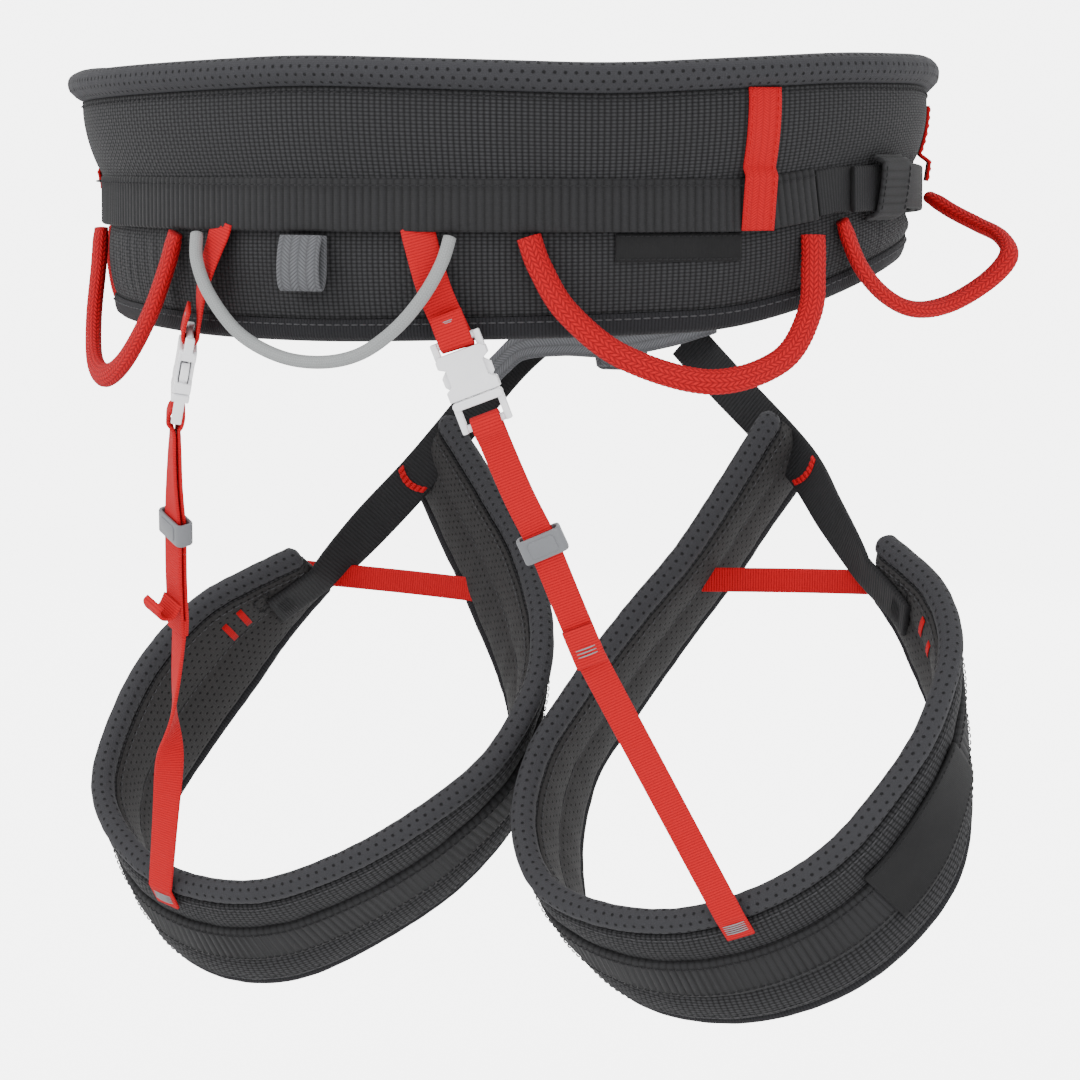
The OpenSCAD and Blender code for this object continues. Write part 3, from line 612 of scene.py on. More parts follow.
# %% Webbing
def webbing(name, path, side, width, thick, rib=0.0, depth=0.0, closed=False):
    """Flat webbing along a path; its ribs are rib apart and depth high."""
    section = rounded(width, thick, min(thick * 0.42, width / 3), n=3, flat=5)
    rings = sweep(path, side, section, closed)
    if rib:
        h = headings(path, closed)
        n = np.cross(h, across(side, h))[:, None]
        x, y = section[:, 0], section[:, 1]
        face = np.sign(y) * (np.abs(y) > thick * 0.3) * (np.abs(x) < width * 0.46)
        ridge = np.abs(np.sin(np.pi * lengths(path) / rib)) ** 0.8
        rings = rings + n * (ridge[:, None, None] - 0.6) * depth * face[None, :, None]
    return skin(name, rings)


def belt_strip(name, start, end, z, height, off, thick, step, rib=0.0, depth=0.0):
    """A strip laid on the belt from angle start to end, with its middle at height z."""
    f = np.linspace(start, end, max(8, int(abs(end - start) * MM_PER_DEGREE / step)))
    path = belt(f, off + thick / 2, z + lift(f))
    return webbing(name, path, [0, 0, 1], height, thick, rib, depth)


band_mid, band_h = (WEB_TOP + WEB_LOW) / 2, WEB_TOP - WEB_LOW
finish(belt_strip("belt_band", -BAND_END, BAND_END, band_mid, band_h, GAP - 0.2, WEB_T, 0.55, 2.7, 0.45),
       ribbed, "belt", "ribbed_webbing", "belt_band")
STRAP_MID, STRAP_H, STRAP_T, BUCKLE = 1.0, 15.0, 1.8, 158.0
LAYER = STRAP_T + GAP
for name, start, end, off in (("waist_strap_left", BUCKLE - 356.8, -BAND_END - 0.3, GAP),
                              ("waist_strap_right", BAND_END + 0.3, BUCKLE - 4.6, GAP),
                              ("waist_strap_tail", 79, BUCKLE - 7.6, GAP + LAYER)):
    finish(belt_strip(name, start, end, STRAP_MID, STRAP_H, off, STRAP_T, 1.2), plain_web, "belt",
           "black_webbing", name)
print("band and waist straps made")

# %% [markdown]
# Stitches. Each stitch is a short arch of thread. A row of them is one mesh of
# many small bent tubes, laid along a line of points with the surface's direction
# at each point.

# %% Stitches
def stitch_rows(name, rows, material, body, slot, length=2.3, space=0.8, thread=0.26):
    """rows is a list of (points, outward directions) in millimetres."""
    verts, faces, cloth = [], [], []
    around = 6
    a = np.radians(np.arange(around) * 360 / around)
    for points, outward in rows:
        s = lengths(points)
        count = max(1, int(s[-1] / (length + space)))
        for q in range(count):
            at = (q + 0.5) / count * s[-1] + np.linspace(-0.5, 0.5, 4) * length
            p = np.stack([np.interp(at, s, points[:, k]) for k in range(3)], 1)
            n = unit(np.stack([np.interp(at, s, outward[:, k]) for k in range(3)], 1))
            p = p + n * np.array([-0.12, 0.16, 0.16, -0.12])[:, None]
            h = headings(p)
            n = across(n, h)
            w = np.cross(h, n)
            r = thread * np.array([0.75, 1, 1, 0.75])
            base = len(verts)
            for k in range(4):
                verts.extend((p[k] + r[k] * (np.cos(a)[:, None] * w[k] + np.sin(a)[:, None] * n[k])).tolist())
            for k in range(3):
                ring = base + k * around
                for j in range(around):
                    j2 = (j + 1) % around
                    faces.append([ring + j, ring + j2, ring + around + j2, ring + around + j])
                    cloth += [[at[k], j], [at[k], j + 1], [at[k + 1], j + 1], [at[k + 1], j]]
            faces.append([base + j for j in range(around - 1, -1, -1)])
            faces.append([base + 3 * around + j for j in range(around)])
            cloth += [[at[0], 0]] * around + [[at[3], 0]] * around
    made = build_mesh(name, verts, faces, cloth)
    return finish(made, material, body, slot)


def belt_line(a, b, off, z):
    """A line along the belt: z is counted from the band's own height, or is a function of f."""
    f = np.linspace(a, b, max(6, int(abs(b - a) * 2)))
    z = z(f) if callable(z) else z + lift(f)
    off = off(f, z) if callable(off) else off
    return belt(f, off, z), belt_out(f)


band_face = GAP - 0.2 + WEB_T + 0.1
stitch_rows("band_stitches", [belt_line(-71.5, 71.5, band_face, z) for z in (WEB_TOP - 2.2, WEB_LOW + 2.2)],
            black_thread, "belt", "ribbed_webbing", length=2.0, space=0.7)
stitch_rows("hem_stitches", [belt_line(-149, 149, 1.15, lambda f: soft_table(f, LOW) + 5.3)],
            pale_thread, "belt", "grosgrain")
stitch_rows("roll_stitches", [belt_line(-149, 149, 0.55, lambda f: soft_table(f, TOP) - ROLL - 1.2)],
            black_thread, "belt", "spacer_mesh")
stitch_rows("strap_stitches", [belt_line(-149, -74, GAP + STRAP_T, STRAP_MID + h) for h in (-5.6, 5.6)],
            black_thread, "belt", "black_webbing")
print("stitch rows along the belt made")

# %% [markdown]
# Tapes, label and keeper lie on the belt like thin skins. Each follows the
# swelling of the padding and climbs over the band, so nothing is left hovering.

# %% Tapes over the belt
RED_SLOT = "red_elastic"


def over_belt(f, z, rise, at_band):
    """How far out a tape lies: on the padding, or over the bands and straps."""
    climb = fade_in(WEB_TOP + 4 + lift(f) - z, 3.5)
    return (puff(f, z) + rise) * (1 - climb) + at_band * climb


def edge_rows(path, f, reach, rise, ends=0):
    """Two lines for stitches, reach to either side of a path that runs up the belt at angle f."""
    rows = []
    for side in (-1, 1):
        q = path + belt_along(f) * side * reach + belt_out(f) * rise
        q = q[ends:len(q) - ends]
        rows.append((q, np.broadcast_to(belt_out(f), q.shape)))
    return rows


def belt_tape(name, f, z0, z1, width, at_band):
    z = np.linspace(z1, z0, 46)
    path = belt(float(f), over_belt(float(f), z, 0.75, at_band), z)
    finish(webbing(name, path, belt_along(f), width, 1.1), red_twill, "belt", RED_SLOT, name)
    stitch_rows(name + "_stitches", edge_rows(path, f, width / 2 - 1.3, 0.55), red_thread, "belt", RED_SLOT,
                length=1.8)


belt_tape("side_tape_right", 61.5, WEB_LOW + 0.3, 38.5, 12, GAP + WEB_T + 1.2)
belt_tape("side_tape_left", -75, WEB_LOW + 0.3, 32, 12, GAP + WEB_T + 1.2)
belt_tape("front_tape_right", 115, 7.5, 33, 9, GAP + 2 * LAYER + 0.8)
belt_tape("front_tape_left", -115, 7.5, 29, 9, GAP + LAYER + 0.8)


def belt_label():
    """A thin blank label that follows the padded face."""
    f = np.linspace(41, 59.5, 70)[:, None]
    t = np.linspace(0, 1, 14)[None]
    z = WEB_LOW - 9.6 + 9.2 * t
    hug, thick = 0.15 + puff(f, z), 0.7
    edge_drop = 0.25 * (1 - fade_in(np.minimum(t, 1 - t) * 10, 1))
    face = belt(f, hug + thick - edge_drop, z)
    rear = belt(f, hug - 0.6, z)
    finish(skin("blank_label", np.concatenate([face, rear[:, ::-1]], 1)), satin, "belt", "label",
           "label_patch")
    rows = [belt_line(41.5, 59, lambda f, z: puff(f, z) + 0.85, lambda f: 0 * f + h)
            for h in (WEB_LOW - 1.3, WEB_LOW - 8.7)]
    stitch_rows("label_stitches", rows, black_thread, "belt", "label", length=1.4, space=0.6, thread=0.2)


belt_label()
print("tapes and label made")

# %% [markdown]
# The elastic keeper on the belt's right side is a ribbed band sewn down above and
# below the strap. It bulges over the strap's tail.

# %% Keeper on the belt
KEEPER_AT = 88.0
kq = route([[2.2, -9.4, 0], [3.4, -8.5, 0], [5.6, -7.7, 0], [6.6, -5.8, 0], [6.9, 1, 0], [6.6, 7.8, 0],
            [5.6, 9.7, 0], [3.4, 10.5, 0], [2.4, 11.4, 0]], 0.45)
keeper_path = belt(KEEPER_AT, kq[:, 0], kq[:, 1] + lift(KEEPER_AT))
finish(webbing("belt_keeper", keeper_path, belt_along(KEEPER_AT), 19, 1.4, 1.7, 0.3), ribbed, "belt",
       "black_webbing", "waist_keeper")
stitch_rows("belt_keeper_stitches", edge_rows(keeper_path, KEEPER_AT, 8.2, 0.75, ends=12), black_thread,
            "belt", "black_webbing", length=1.6, space=0.5)
print("keeper made")

# %% [markdown]
# Gear loops are a stiff core in a braided sleeve. Each is an oval tube along its
# route, with the braid's diagonal ridges raised a little on the real surface, and
# a flat sewn end where it disappears under the band.

# %% Gear loops
SLEEVE_W, SLEEVE_T = 8.2, 5.2
LOOPS = {
    "rear_right": ([[29.5, 3.6, LOOP_Z], [31, 5, -19], [34.5, 8, -33], [41.5, 11.5, -47], [52.5, 14, -55],
                    [63, 12, -49], [69, 8.5, -34], [71, 5, -19], [71.5, 3.6, LOOP_Z]], 15, SLEEVE_W),
    "rear_left": ([[-62, 3.6, LOOP_Z], [-61, 4.5, -22], [-57, 6.5, -40], [-50, 8, -54], [-42, 8.5, -58],
                   [-35, 8, -52], [-29, 6.5, -37], [-25.5, 4.5, -20], [-24, 3.6, LOOP_Z]], 8, SLEEVE_W),
    "front_right": ([[77.5, 4, LOOP_Z + 4.5], [80.5, 6, -19], [85, 9, -29], [90, 14, -34], [96, 21, -32.5],
                     [101, 31, -25], [104, 36.5, -17], [107, 33, -11], [109.5, 25, -7], [111.5, 17, -3],
                     [113, 11.4, 0.5], [114, 9, 2]], 60, SLEEVE_W - 1.4),
    "front_left": ([[-78, 4, LOOP_Z], [-80, 6, -22], [-87, 9, -36], [-96, 10, -40], [-105, 9, -36],
                    [-112, 6, -22], [-114, 4, LOOP_Z]], 12, SLEEVE_W - 1.4),
}


def gear_loop(key, points, tilt, width):
    """One loop: its flat side leans tilt degrees up from facing outwards."""
    q = np.array(points, float)
    path = route(hung(q[:, 0], q[:, 1], q[:, 2]), 0.5)
    tilt = math.radians(tilt)
    n = belt_out((q[0, 0] + q[-1, 0]) / 2) * math.cos(tilt) + [0, 0, math.sin(tilt)]
    h = headings(path)
    face = across(n, h)
    side = np.cross(face, h)
    count, lanes, stitch = 32, 14, 1.9
    a = np.radians(np.arange(count) * 360 / count)
    s = lengths(path)
    lane = np.arange(count) / count * lanes
    zig = np.abs(lane % 2 - 1)
    slant = np.abs(np.sin(np.pi * (s[:, None] / stitch + zig[None])))
    ridge = slant * np.abs(np.sin(np.pi * lane))[None] ** 0.5
    flat = (0.82 + 0.18 * fade_in(np.minimum(s, s[-1] - s), 5))[:, None]
    r = 1 + 0.045 * (ridge - 0.5)
    rings = (path[:, None] + side[:, None] * (np.cos(a) * r * width / 2)[..., None]
             + face[:, None] * (np.sin(a) * r * flat * SLEEVE_T / 2)[..., None])
    return finish(skin("gear_loop_" + key, rings), red_sleeve, "gear_" + key, "braided_sleeve",
                  "gear_loop_" + key)


for key, (points, tilt, width) in LOOPS.items():
    made = gear_loop(key, points, tilt, width)
    print(made.name, len(made.data.vertices), "points")

# %% [markdown]
# The grey cord hangs in an open bow between the risers. It goes into the belt at
# both ends, so it has no free end. It is a limp cord 4.3 mm thick.

# %% Rear cord
CORD = [[-46.5, -118, -9.2], [-43.5, -122.5, -18], [-36.5, -125.5, -29], [-24, -127.5, -41],
        [-8, -128.3, -48], [8, -128.5, -49.5], [22, -127.8, -46.5], [34, -126.3, -38.5], [43, -124, -28],
        [48.3, -121.3, -17.5], [49.5, -118, -9.2]]
CORD_D = 4.3
cord_path = route(CORD, 1.2)


def rear_cord():
    a = np.radians(np.arange(0, 360, 18))[:, None]
    h = headings(cord_path)
    n = across([0, -1, 0], h)
    w = np.cross(h, n)
    rings = cord_path[:, None] + (w[:, None] * np.cos(a) + n[:, None] * np.sin(a)) * CORD_D / 2
    return finish(skin("rear_cord_bow", rings), grey_cord, "belt", "grey_cord", "rear_cord")


cord = rear_cord()
print("cord length:", round(lengths(cord_path)[-1], 1), "mm")

# %% [markdown]
# The haul tab is a doubled piece of grey herringbone webbing that hangs from the
# middle of the back, with its fold at the bottom.

# %% Haul tab
HAUL_AT = -1.0
TAB = [[1.2, LOOP_Z, 0], [1.3, -17, 0], [1.6, -22, 0], [2.6, -25.4, 0], [4.2, -26.4, 0], [5.6, -24.6, 0],
       [6.2, -20, 0], [5.6, -14, 0], [4, LOOP_Z, 0]]
tab = route(TAB, 0.6)
tab_path = hung(np.full(len(tab), HAUL_AT), tab[:, 0] + 0.3, tab[:, 1])
finish(webbing("haul_tab_loop", tab_path, belt_along(HAUL_AT), 16, 1.4, 1.2, 0.12), grey_web, "haul_tab",
       "grey_webbing", "haul_tab")
print("haul tab made")

# %% [markdown]
# Waist buckle: a flat frame with a bar and a second, sliding plate that tips to
# grip the strap. Both are rounded plates of light alloy. A closed sweep round a
# rounded rectangle gives the rim and a rounded bar crosses it.

# %% Hard materials
def solid(name, colour, rough, metal=0.0, coat=0.0, marks=0.06):
    """Moulded plastic or metal with small scratches and uneven gloss."""
    made, tree, shader = new_material(name)
    at = add(tree, "ShaderNodeTexCoord").outputs["Object"]
    cloud, fine = noise(tree, at, 90, 5), noise(tree, at, 1600)
    tone = add(tree, "ShaderNodeMix", data_type="RGBA")
    wire(tree, cloud, tone.inputs[0])
    tone.inputs[6].default_value = (*[c * (1 - marks) for c in colour], 1)
    tone.inputs[7].default_value = (*[min(1, c * (1 + marks)) for c in colour], 1)
    wire(tree, tone.outputs[2], shader.inputs["Base Color"])
    uneven = calc(tree, "ADD", rough - 0.06, calc(tree, "MULTIPLY", cloud, 0.14))
    wire(tree, uneven, shader.inputs["Roughness"])
    bumped(tree, shader, fine, 0.5, 0.03)
    shader.inputs["Metallic"].default_value = metal
    shader.inputs["Coat Weight"].default_value = coat
    return made


white_plastic = solid("white_plastic", (0.82, 0.82, 0.84), 0.24, coat=0.25)
grey_plastic = solid("grey_plastic", (0.13, 0.135, 0.145), 0.4)
alloy = solid("satin_alloy", (0.2, 0.205, 0.215), 0.32, metal=1.0, marks=0.1)
print("hard materials:", [m.name for m in (white_plastic, grey_plastic, alloy)])

# %% [markdown]
# Hard parts are drawn flat round their own middle and then placed by three axes:
# across the strap, into the belt and up.

# %% Buckle
def outline_path(w, h, r):
    """Points round a rounded rectangle in X and Z, for a closed sweep."""
    pts = rounded(w, h, r, n=7, flat=6)
    return np.stack([pts[:, 0], np.zeros(len(pts)), pts[:, 1]], 1)


def placed(points, origin, x_axis, y_axis, z_axis):
    points = np.asarray(points, float)
    return origin + points[..., :1] * x_axis + points[..., 1:2] * y_axis + points[..., 2:3] * z_axis


def belt_axes(f):
    return belt_along(f), -belt_out(f), np.array([0, 0, 1.0])


def merge(name, pieces):
    """Several objects to one, as a casting has all its features in one piece."""
    bm = bmesh.new()
    for piece in pieces:
        bm.from_mesh(piece.data)
        bpy.data.objects.remove(piece)
    mesh = bpy.data.meshes.new(name)
    bm.to_mesh(mesh)
    bm.free()
    return show(name, mesh)


def round_bar(name, a, b, r, oval=1.0, face=(0, 1, 0)):
    """A bar from a to b with rounded ends; oval flattens it towards face."""
    a, b = np.asarray(a, float), np.asarray(b, float)
    t = np.array([0, 0.02, 0.05, 0.5, 0.95, 0.98, 1])
    size = np.array([0.6, 0.9, 1, 1, 1, 0.9, 0.6])
    h = unit(b - a)
    n1 = across(face, h)
    n2 = np.cross(h, n1)
    ang = np.radians(np.arange(20) * 18)[:, None]
    ring = n2 * np.cos(ang) * r + n1 * np.sin(ang) * r * oval
    return skin(name, (a + (b - a) * t[:, None])[:, None] + ring[None] * size[:, None, None])


def alloy_plate(name, f, off, w, h, rim, thick, bar, node, body):
    """A flat frame w by h with a bar down its middle, on the belt at angle f."""
    origin, axes = belt(f, off, STRAP_MID), belt_axes(f)
    ring = placed(outline_path(w - rim, h - rim, 3.2), origin, *axes)
    inward = np.broadcast_to(axes[1], ring.shape)
    rim_piece = skin("rim", sweep(ring, inward, rounded(thick, rim, 0.7, n=4, flat=2), True), closed=True)
    ends = placed([[0, 0, -h / 2 + rim * 0.6], [0, 0, h / 2 - rim * 0.6]], origin, *axes)
    bar_piece = round_bar("bar", ends[0], ends[1], bar / 2, oval=thick / bar, face=axes[1])
    return finish(merge(name, [rim_piece, bar_piece]), alloy, body, "alloy", node)


alloy_plate("buckle_plate", BUCKLE, 6, 34, 27, 4.0, 2.4, 5, "buckle_frame", "belt")
alloy_plate("buckle_slide", BUCKLE, 9, 26, 24, 3.0, 2.2, 4, "buckle_slider", "slider")
print("buckle made")

# %% [markdown]
# Tie-in point and belay loop carry the climber, so they are thick webbing with
# dense blocks of stitches, called bar tacks, where the layers join.

# %% Tie-in point, belay loop and leg tie-in
TIE_IN = [[-30, 124.2, 1], [-22, 126, 1], [-13, 131.5, 1], [0, 134, 1], [13, 131.5, 1], [22, 126, 1],
          [30, 124.2, 1]]
finish(webbing("waist_tie_in", route(TIE_IN, 0.6), [0, 0, 1], 14, 1.8, 1.2, 0.12), grey_web, "belt",
       "grey_webbing", "tie_in_point")
BELAY = [[0, 86.5, -60], [0, 84.8, -50], [0, 93, -35], [0, 112, -21], [0, 126.6, -9], [0, 128, 4],
         [0, 134, 12.5], [0, 139, 8], [0, 139.5, -3], [0, 128, -22], [0, 110, -42], [0, 96.5, -56],
         [0, 91, -60.5], [0, 86.5, -60]]
belay_path = route(BELAY, 0.7)[:-1]
finish(webbing("belay_loop_ring", belay_path, [1, 0, 0], 15, 2.4, 1.4, 0.15, closed=True), grey_web, "belt",
       "grey_webbing", "belay_loop")
LEG_TIE = [[-47, 73, -67], [-41, 75, -60], [-33, 77, -54], [-16, 78, -52], [4, 78, -52], [26, 78, -48],
           [37, 80, -44.5], [41, 84.5, -42.5], [37, 89, -42.5], [20, 91, -46], [-4, 91, -48], [-22, 90, -48],
           [-28, 88, -49]]
finish(webbing("leg_tie_in_loop", route(LEG_TIE, 0.7), [0, 0.35, 1], 10, 1.5, 1.2, 0.1), grey_web, "belt",
       "grey_webbing", "leg_tie_in")


def bar_tack(name, centre, wide, tall, out, body, slot, material, rows=9, lift_by=0.0):
    """A dense block of zigzag stitches: wide and tall are vectors."""
    centre, wide, tall, out = (np.asarray(v, float) for v in (centre, wide, tall, out))
    lines = []
    for k in range(rows):
        t = -0.5 + (k + 0.5) / rows
        p = np.stack([centre + tall * t - wide * 0.5, centre + tall * t + wide * 0.5]) + unit(out) * lift_by
        lines.append((p, np.stack([out, out])))
    reach = float(np.linalg.norm(wide))
    return stitch_rows(name, lines, material, body, slot, length=reach * 0.96, space=reach * 0.04)


for word, side in (("left", -1), ("right", 1)):
    bar_tack("tie_in_tack_" + word, [side * 25, 126.1, 1], [3.2, 0, 0], [0, 0, 12], [side * 0.15, 1, 0],
             "belt", "grey_webbing", grey_thread, rows=12)
for k, (py, pz) in enumerate(((119.0, -33.2), (105.5, -46.6))):
    bar_tack("belay_tack_%d" % k, [0, py, pz], [12, 0, 0], [0, 2.6, 2.6], [0, 0.74, -0.68], "belt",
             "grey_webbing", red_thread, rows=5, lift_by=1.0)
print("tie-in, belay loop and leg tie-in made")

# %% [markdown]
# Risers: thin elastic straps that carry the leg loops. The top strap is sewn to
# the belt and doubled through the clip's socket. The lower one is folded over the
# plug's bar, held together by a sliding keeper, and sewn to the leg loop's roll.
# The left riser is the mirror image of the right one, turned a little at its clip.

# %% Riser layout
ELASTIC_T, RISER_W, CLIP_W, CLIP_T = 1.2, 10.0, 17.0, 6.0
SOCKET_L, PLUG_FRAME, BAR_R, TOP_BAR = 15.0, 10.5, 1.3, 3.4
TURN_R = BAR_R + GAP + ELASTIC_T / 2 + 0.15
RISER = np.array([[38, -117.8, -9], [44, -118.5, -26], [50.5, -116.3, -42]])
CLIP_D = unit([9, 5, -27])
CLIP_TOP = RISER[2] + CLIP_D * TOP_BAR
OUT, SIDE = unit([0.42, -0.9, 0]), unit([0.9, 0.42, 0.3])
BAR_AT = CLIP_TOP + CLIP_D * (SOCKET_L + 0.4 + PLUG_FRAME - BAR_R)
LOWER = np.array([BAR_AT, [65.5, -103, -91], [70.5, -95, -108], [75, -88, -126], [79.5, -80, -145]])
SIDES = {"right": 1, "left": -1}
LEFT_TWIST = -30.0


def twisted(s, v, f):
    """On the left, v turned by the clip's twist times f."""
    if s > 0:
        return np.broadcast_to(np.asarray(v, float), np.shape(f) + (3,)).copy()
    a = np.radians(LEFT_TWIST * np.asarray(f, float))[..., None]
    return v * np.cos(a) + np.cross(CLIP_D, v) * np.sin(a) + CLIP_D * (CLIP_D @ v) * (1 - np.cos(a))


def on_side(s, points):
    """Points of the right riser, mirrored for the left one where s is -1."""
    return np.asarray(points, float) * [s, 1, 1]


def strap_piece(name, s, points, sides, width, thick):
    """A strap through points, with its width turning smoothly from side to side."""
    p = np.asarray(points, float)
    t = np.linspace(0, len(p) - 1, (len(p) - 1) * 12 + 1)
    path, side = smooth_at(p, t), unit(smooth_at(sides, t))
    keep = np.concatenate([[True], np.linalg.norm(np.diff(path, axis=0), axis=1) > 1e-3])
    return webbing(name, on_side(s, path[keep]), on_side(s, side[keep]), width, thick)


print("clip from", CLIP_TOP.round(1), "to", BAR_AT.round(1))

# %% [markdown]
# The top strap goes down, round the socket's bar and back up behind itself. The
# fold comes up the front, round the plug's bar and down the back.

# %% Riser straps
def riser_top(word, s):
    bar = RISER[2]
    n = across(twisted(s, OUT, 1), CLIP_D)
    run = smooth_at([RISER[0], RISER[1], bar - n * TURN_R - CLIP_D * 1.5], np.linspace(0, 2, 9))
    loop = [bar + n * a * TURN_R / 2.1 + CLIP_D * b * TURN_R / 2.1
            for a, b in ((-2.1, 0), (-1.5, 1.5), (0, 2.2), (1.5, 1.5), (2.1, 0), (2, -4), (1.5, -8))]
    pts = np.concatenate([[RISER[0] + [-1.2, 0.4, 4.0]], run, loop])
    sides = twisted(s, SIDE, np.minimum(1, np.maximum(0, np.arange(len(pts)) - 1) / 7))
    made = strap_piece("riser_top_strap_" + word, s, pts, sides, 11, ELASTIC_T)
    finish(made, red_elastic, "belt", RED_SLOT, "riser_top_" + word)
    tack = bar + n * (1.4 * TURN_R / 2.1 + 0.6) - CLIP_D * 6.2
    x = np.cross(n, CLIP_D)
    bar_tack("riser_top_tack_" + word, on_side(s, tack), on_side(s, x) * 6.5, on_side(s, CLIP_D) * 1.6,
             on_side(s, n), "belt", RED_SLOT, grey_thread, rows=3, lift_by=0.15)


def riser_fold(word, s):
    p = smooth_at(LOWER, np.linspace(0, 4, 13))
    h = headings(p)
    m = len(p) - 1
    n = across(twisted(s, OUT, 1), CLIP_D)
    fade = np.maximum(0, 1 - np.arange(m + 1) / 6)
    face = across(twisted(s, OUT, fade), h)
    front = [p[i] + face[i] * 1.15 for i in range(m, 0, -1)]
    rear = [p[i] - face[i] * (0.3 if i == m else 0.75) for i in range(1, m + 1)]
    loop = [BAR_AT + (n * a + CLIP_D * b) * TURN_R
            for a, b in ((1, 1.2), (1, 0), (0.7, -0.7), (0, -1), (-0.7, -0.7), (-1, 0), (-1, 1.2))]
    turns = np.concatenate([fade[m:0:-1], np.ones(7), fade[1:]])
    sides = twisted(s, SIDE, turns)
    sides[m:m + 7] = np.cross(n, CLIP_D)
    made = strap_piece("riser_fold_strap_" + word, s, front + loop + rear, sides, RISER_W, ELASTIC_T)
    finish(made, red_elastic, "belt", RED_SLOT, "riser_fold_" + word)
    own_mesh(made)


for word, s in SIDES.items():
    riser_top(word, s)
    riser_fold(word, s)
print("riser straps made")

# %% [markdown]
# The side-release clip is moulded in glossy white plastic. Each part is a few
# flat outlines given thickness and rounded edges: a socket with windows in its
# sides, and a plug with two springy arms that show in those windows.

# %% Clip helpers
def riser_axes(s, d, f=1.0):
    """Axes of a part on the riser: across it, into it and up it, f of the way into the twist."""
    n = across(twisted(s, OUT, f), d)
    return on_side(s, np.cross(n, d)), on_side(s, -n), on_side(s, -d)


def prism(outline, y0, y1, round_off=0.35):
    """An outline in X and Z given thickness from y0 to y1, with rounded edges."""
    bm = bmesh.new()
    near = [bm.verts.new((x, y0, z)) for x, z in outline]
    face = bm.faces.new(near)
    made = bmesh.ops.extrude_face_region(bm, geom=[face])
    far = [v for v in made["geom"] if isinstance(v, bmesh.types.BMVert)]
    for v in far:
        v.co.y = y1
    bmesh.ops.recalc_face_normals(bm, faces=bm.faces)
    bmesh.ops.bevel(bm, geom=bm.edges[:], offset=round_off, segments=3, profile=0.5, affect="EDGES",
                    clamp_overlap=True)
    return bm


def moulding(name, shapes, origin, axes, body, node):
    """Shapes are (outline, y0, y1, rounding); the result is one mesh in place."""
    whole = bmesh.new()
    for shape in shapes:
        bm = prism(*shape)
        spare = bpy.data.meshes.new("spare")
        bm.to_mesh(spare)
        bm.free()
        whole.from_mesh(spare)
        bpy.data.meshes.remove(spare)
    for v in whole.verts:
        v.co = Vector(placed(np.array(v.co)[None], origin, *axes)[0] * MM)
    bmesh.ops.recalc_face_normals(whole, faces=whole.faces)
    mesh = bpy.data.meshes.new(name)
    whole.to_mesh(mesh)
    whole.free()
    made = show(name, mesh)
    mesh.set_sharp_from_angle(angle=math.radians(50))
    return finish(made, white_plastic, body, "white_plastic", node)


def box_outline(x0, x1, z0, z1):
    return [(x0, z0), (x1, z0), (x1, z1), (x0, z1)]


def both(shapes):
    """Adds each shape's mirror image across the middle."""
    return shapes + [([(-x, z) for x, z in outline][::-1], y0, y1, r) for outline, y0, y1, r in shapes]


def clip_bar(name, s, reach, z, body):
    """The round bar that a strap turns on, reach to either side of the middle."""
    ends = placed([[-reach, 0, z], [reach, 0, z]], on_side(s, CLIP_TOP), *riser_axes(s, CLIP_D))
    finish(round_bar(name, ends[0], ends[1], BAR_R), white_plastic, body, "white_plastic")


print("clip helpers ready")

# %% [markdown]
# Heights are counted up the clip from the socket's mouth, so everything below it
# is negative. The socket is two waisted plates with a wall between them.

# %% Clips
def clip_socket(word, s):
    w, t, l = CLIP_W / 2, CLIP_T / 2, SOCKET_L
    waist = [(-w, -1.2), (-w + 1.4, 0), (w - 1.4, 0), (w, -1.2), (w, -3.6), (w - 2.2, -4.8), (w - 2.2, -10.2),
             (w, -11.6), (w, -l), (-w, -l), (-w, -11.6), (-w + 2.2, -10.2), (-w + 2.2, -4.8), (-w, -3.6)]
    shapes = [(waist, -t, -t + 1.25, 0.4), (waist, t - 1.25, t, 0.4),
              (box_outline(-w + 0.2, w - 0.2, -3.4, -0.3), -t + 0.9, t - 0.9, 0.3)]
    shapes += both([(box_outline(w - 1.5, w - 0.05, -l + 0.1, -11.4), -t + 0.8, t - 0.8, 0.25),
                    (box_outline(w - 2.4, w - 0.1, -1.0, TOP_BAR + 1.2), -1.55, 1.55, 0.5)])
    moulding("clip_socket_body_" + word, shapes, on_side(s, CLIP_TOP), riser_axes(s, CLIP_D), "belt",
             "clip_socket_" + word)
    clip_bar("clip_socket_bar_" + word, s, w - 1.6, TOP_BAR, "belt")


def clip_plug(word, s):
    w, t = CLIP_W / 2, CLIP_T / 2
    top, low = -SOCKET_L - 0.4, -SOCKET_L - 0.4 - PLUG_FRAME
    head = [(-w, top - 0.8), (-w + 0.8, top), (w - 0.8, top), (w, top - 0.8), (w - 0.3, top - 2.8),
            (-w + 0.3, top - 2.8)]
    arm = [(w - 3.6, top - 1), (w - 1.7, top - 1), (w - 1.5, top + 4.2), (w - 0.15, top + 5.6),
           (w - 0.1, top + 8.6), (w - 2.2, top + 10.8), (w - 3.2, top + 10.2), (w - 3.3, top + 6.6)]
    shapes = [(head, -t, t, 0.5), (box_outline(-1.1, 1.1, top - 1, top + 11.6), -1.3, 1.3, 0.35)]
    shapes += both([(arm, -1.35, 1.35, 0.35),
                    (box_outline(w - 2.2, w - 0.05, low - 0.1, top - 2), -1.75, 1.75, 0.5)])
    moulding("clip_plug_body_" + word, shapes, on_side(s, CLIP_TOP), riser_axes(s, CLIP_D), "plug_" + word,
             "clip_plug_" + word)
    clip_bar("clip_plug_bar_" + word, s, w - 1.2, low + BAR_R, "plug_" + word)


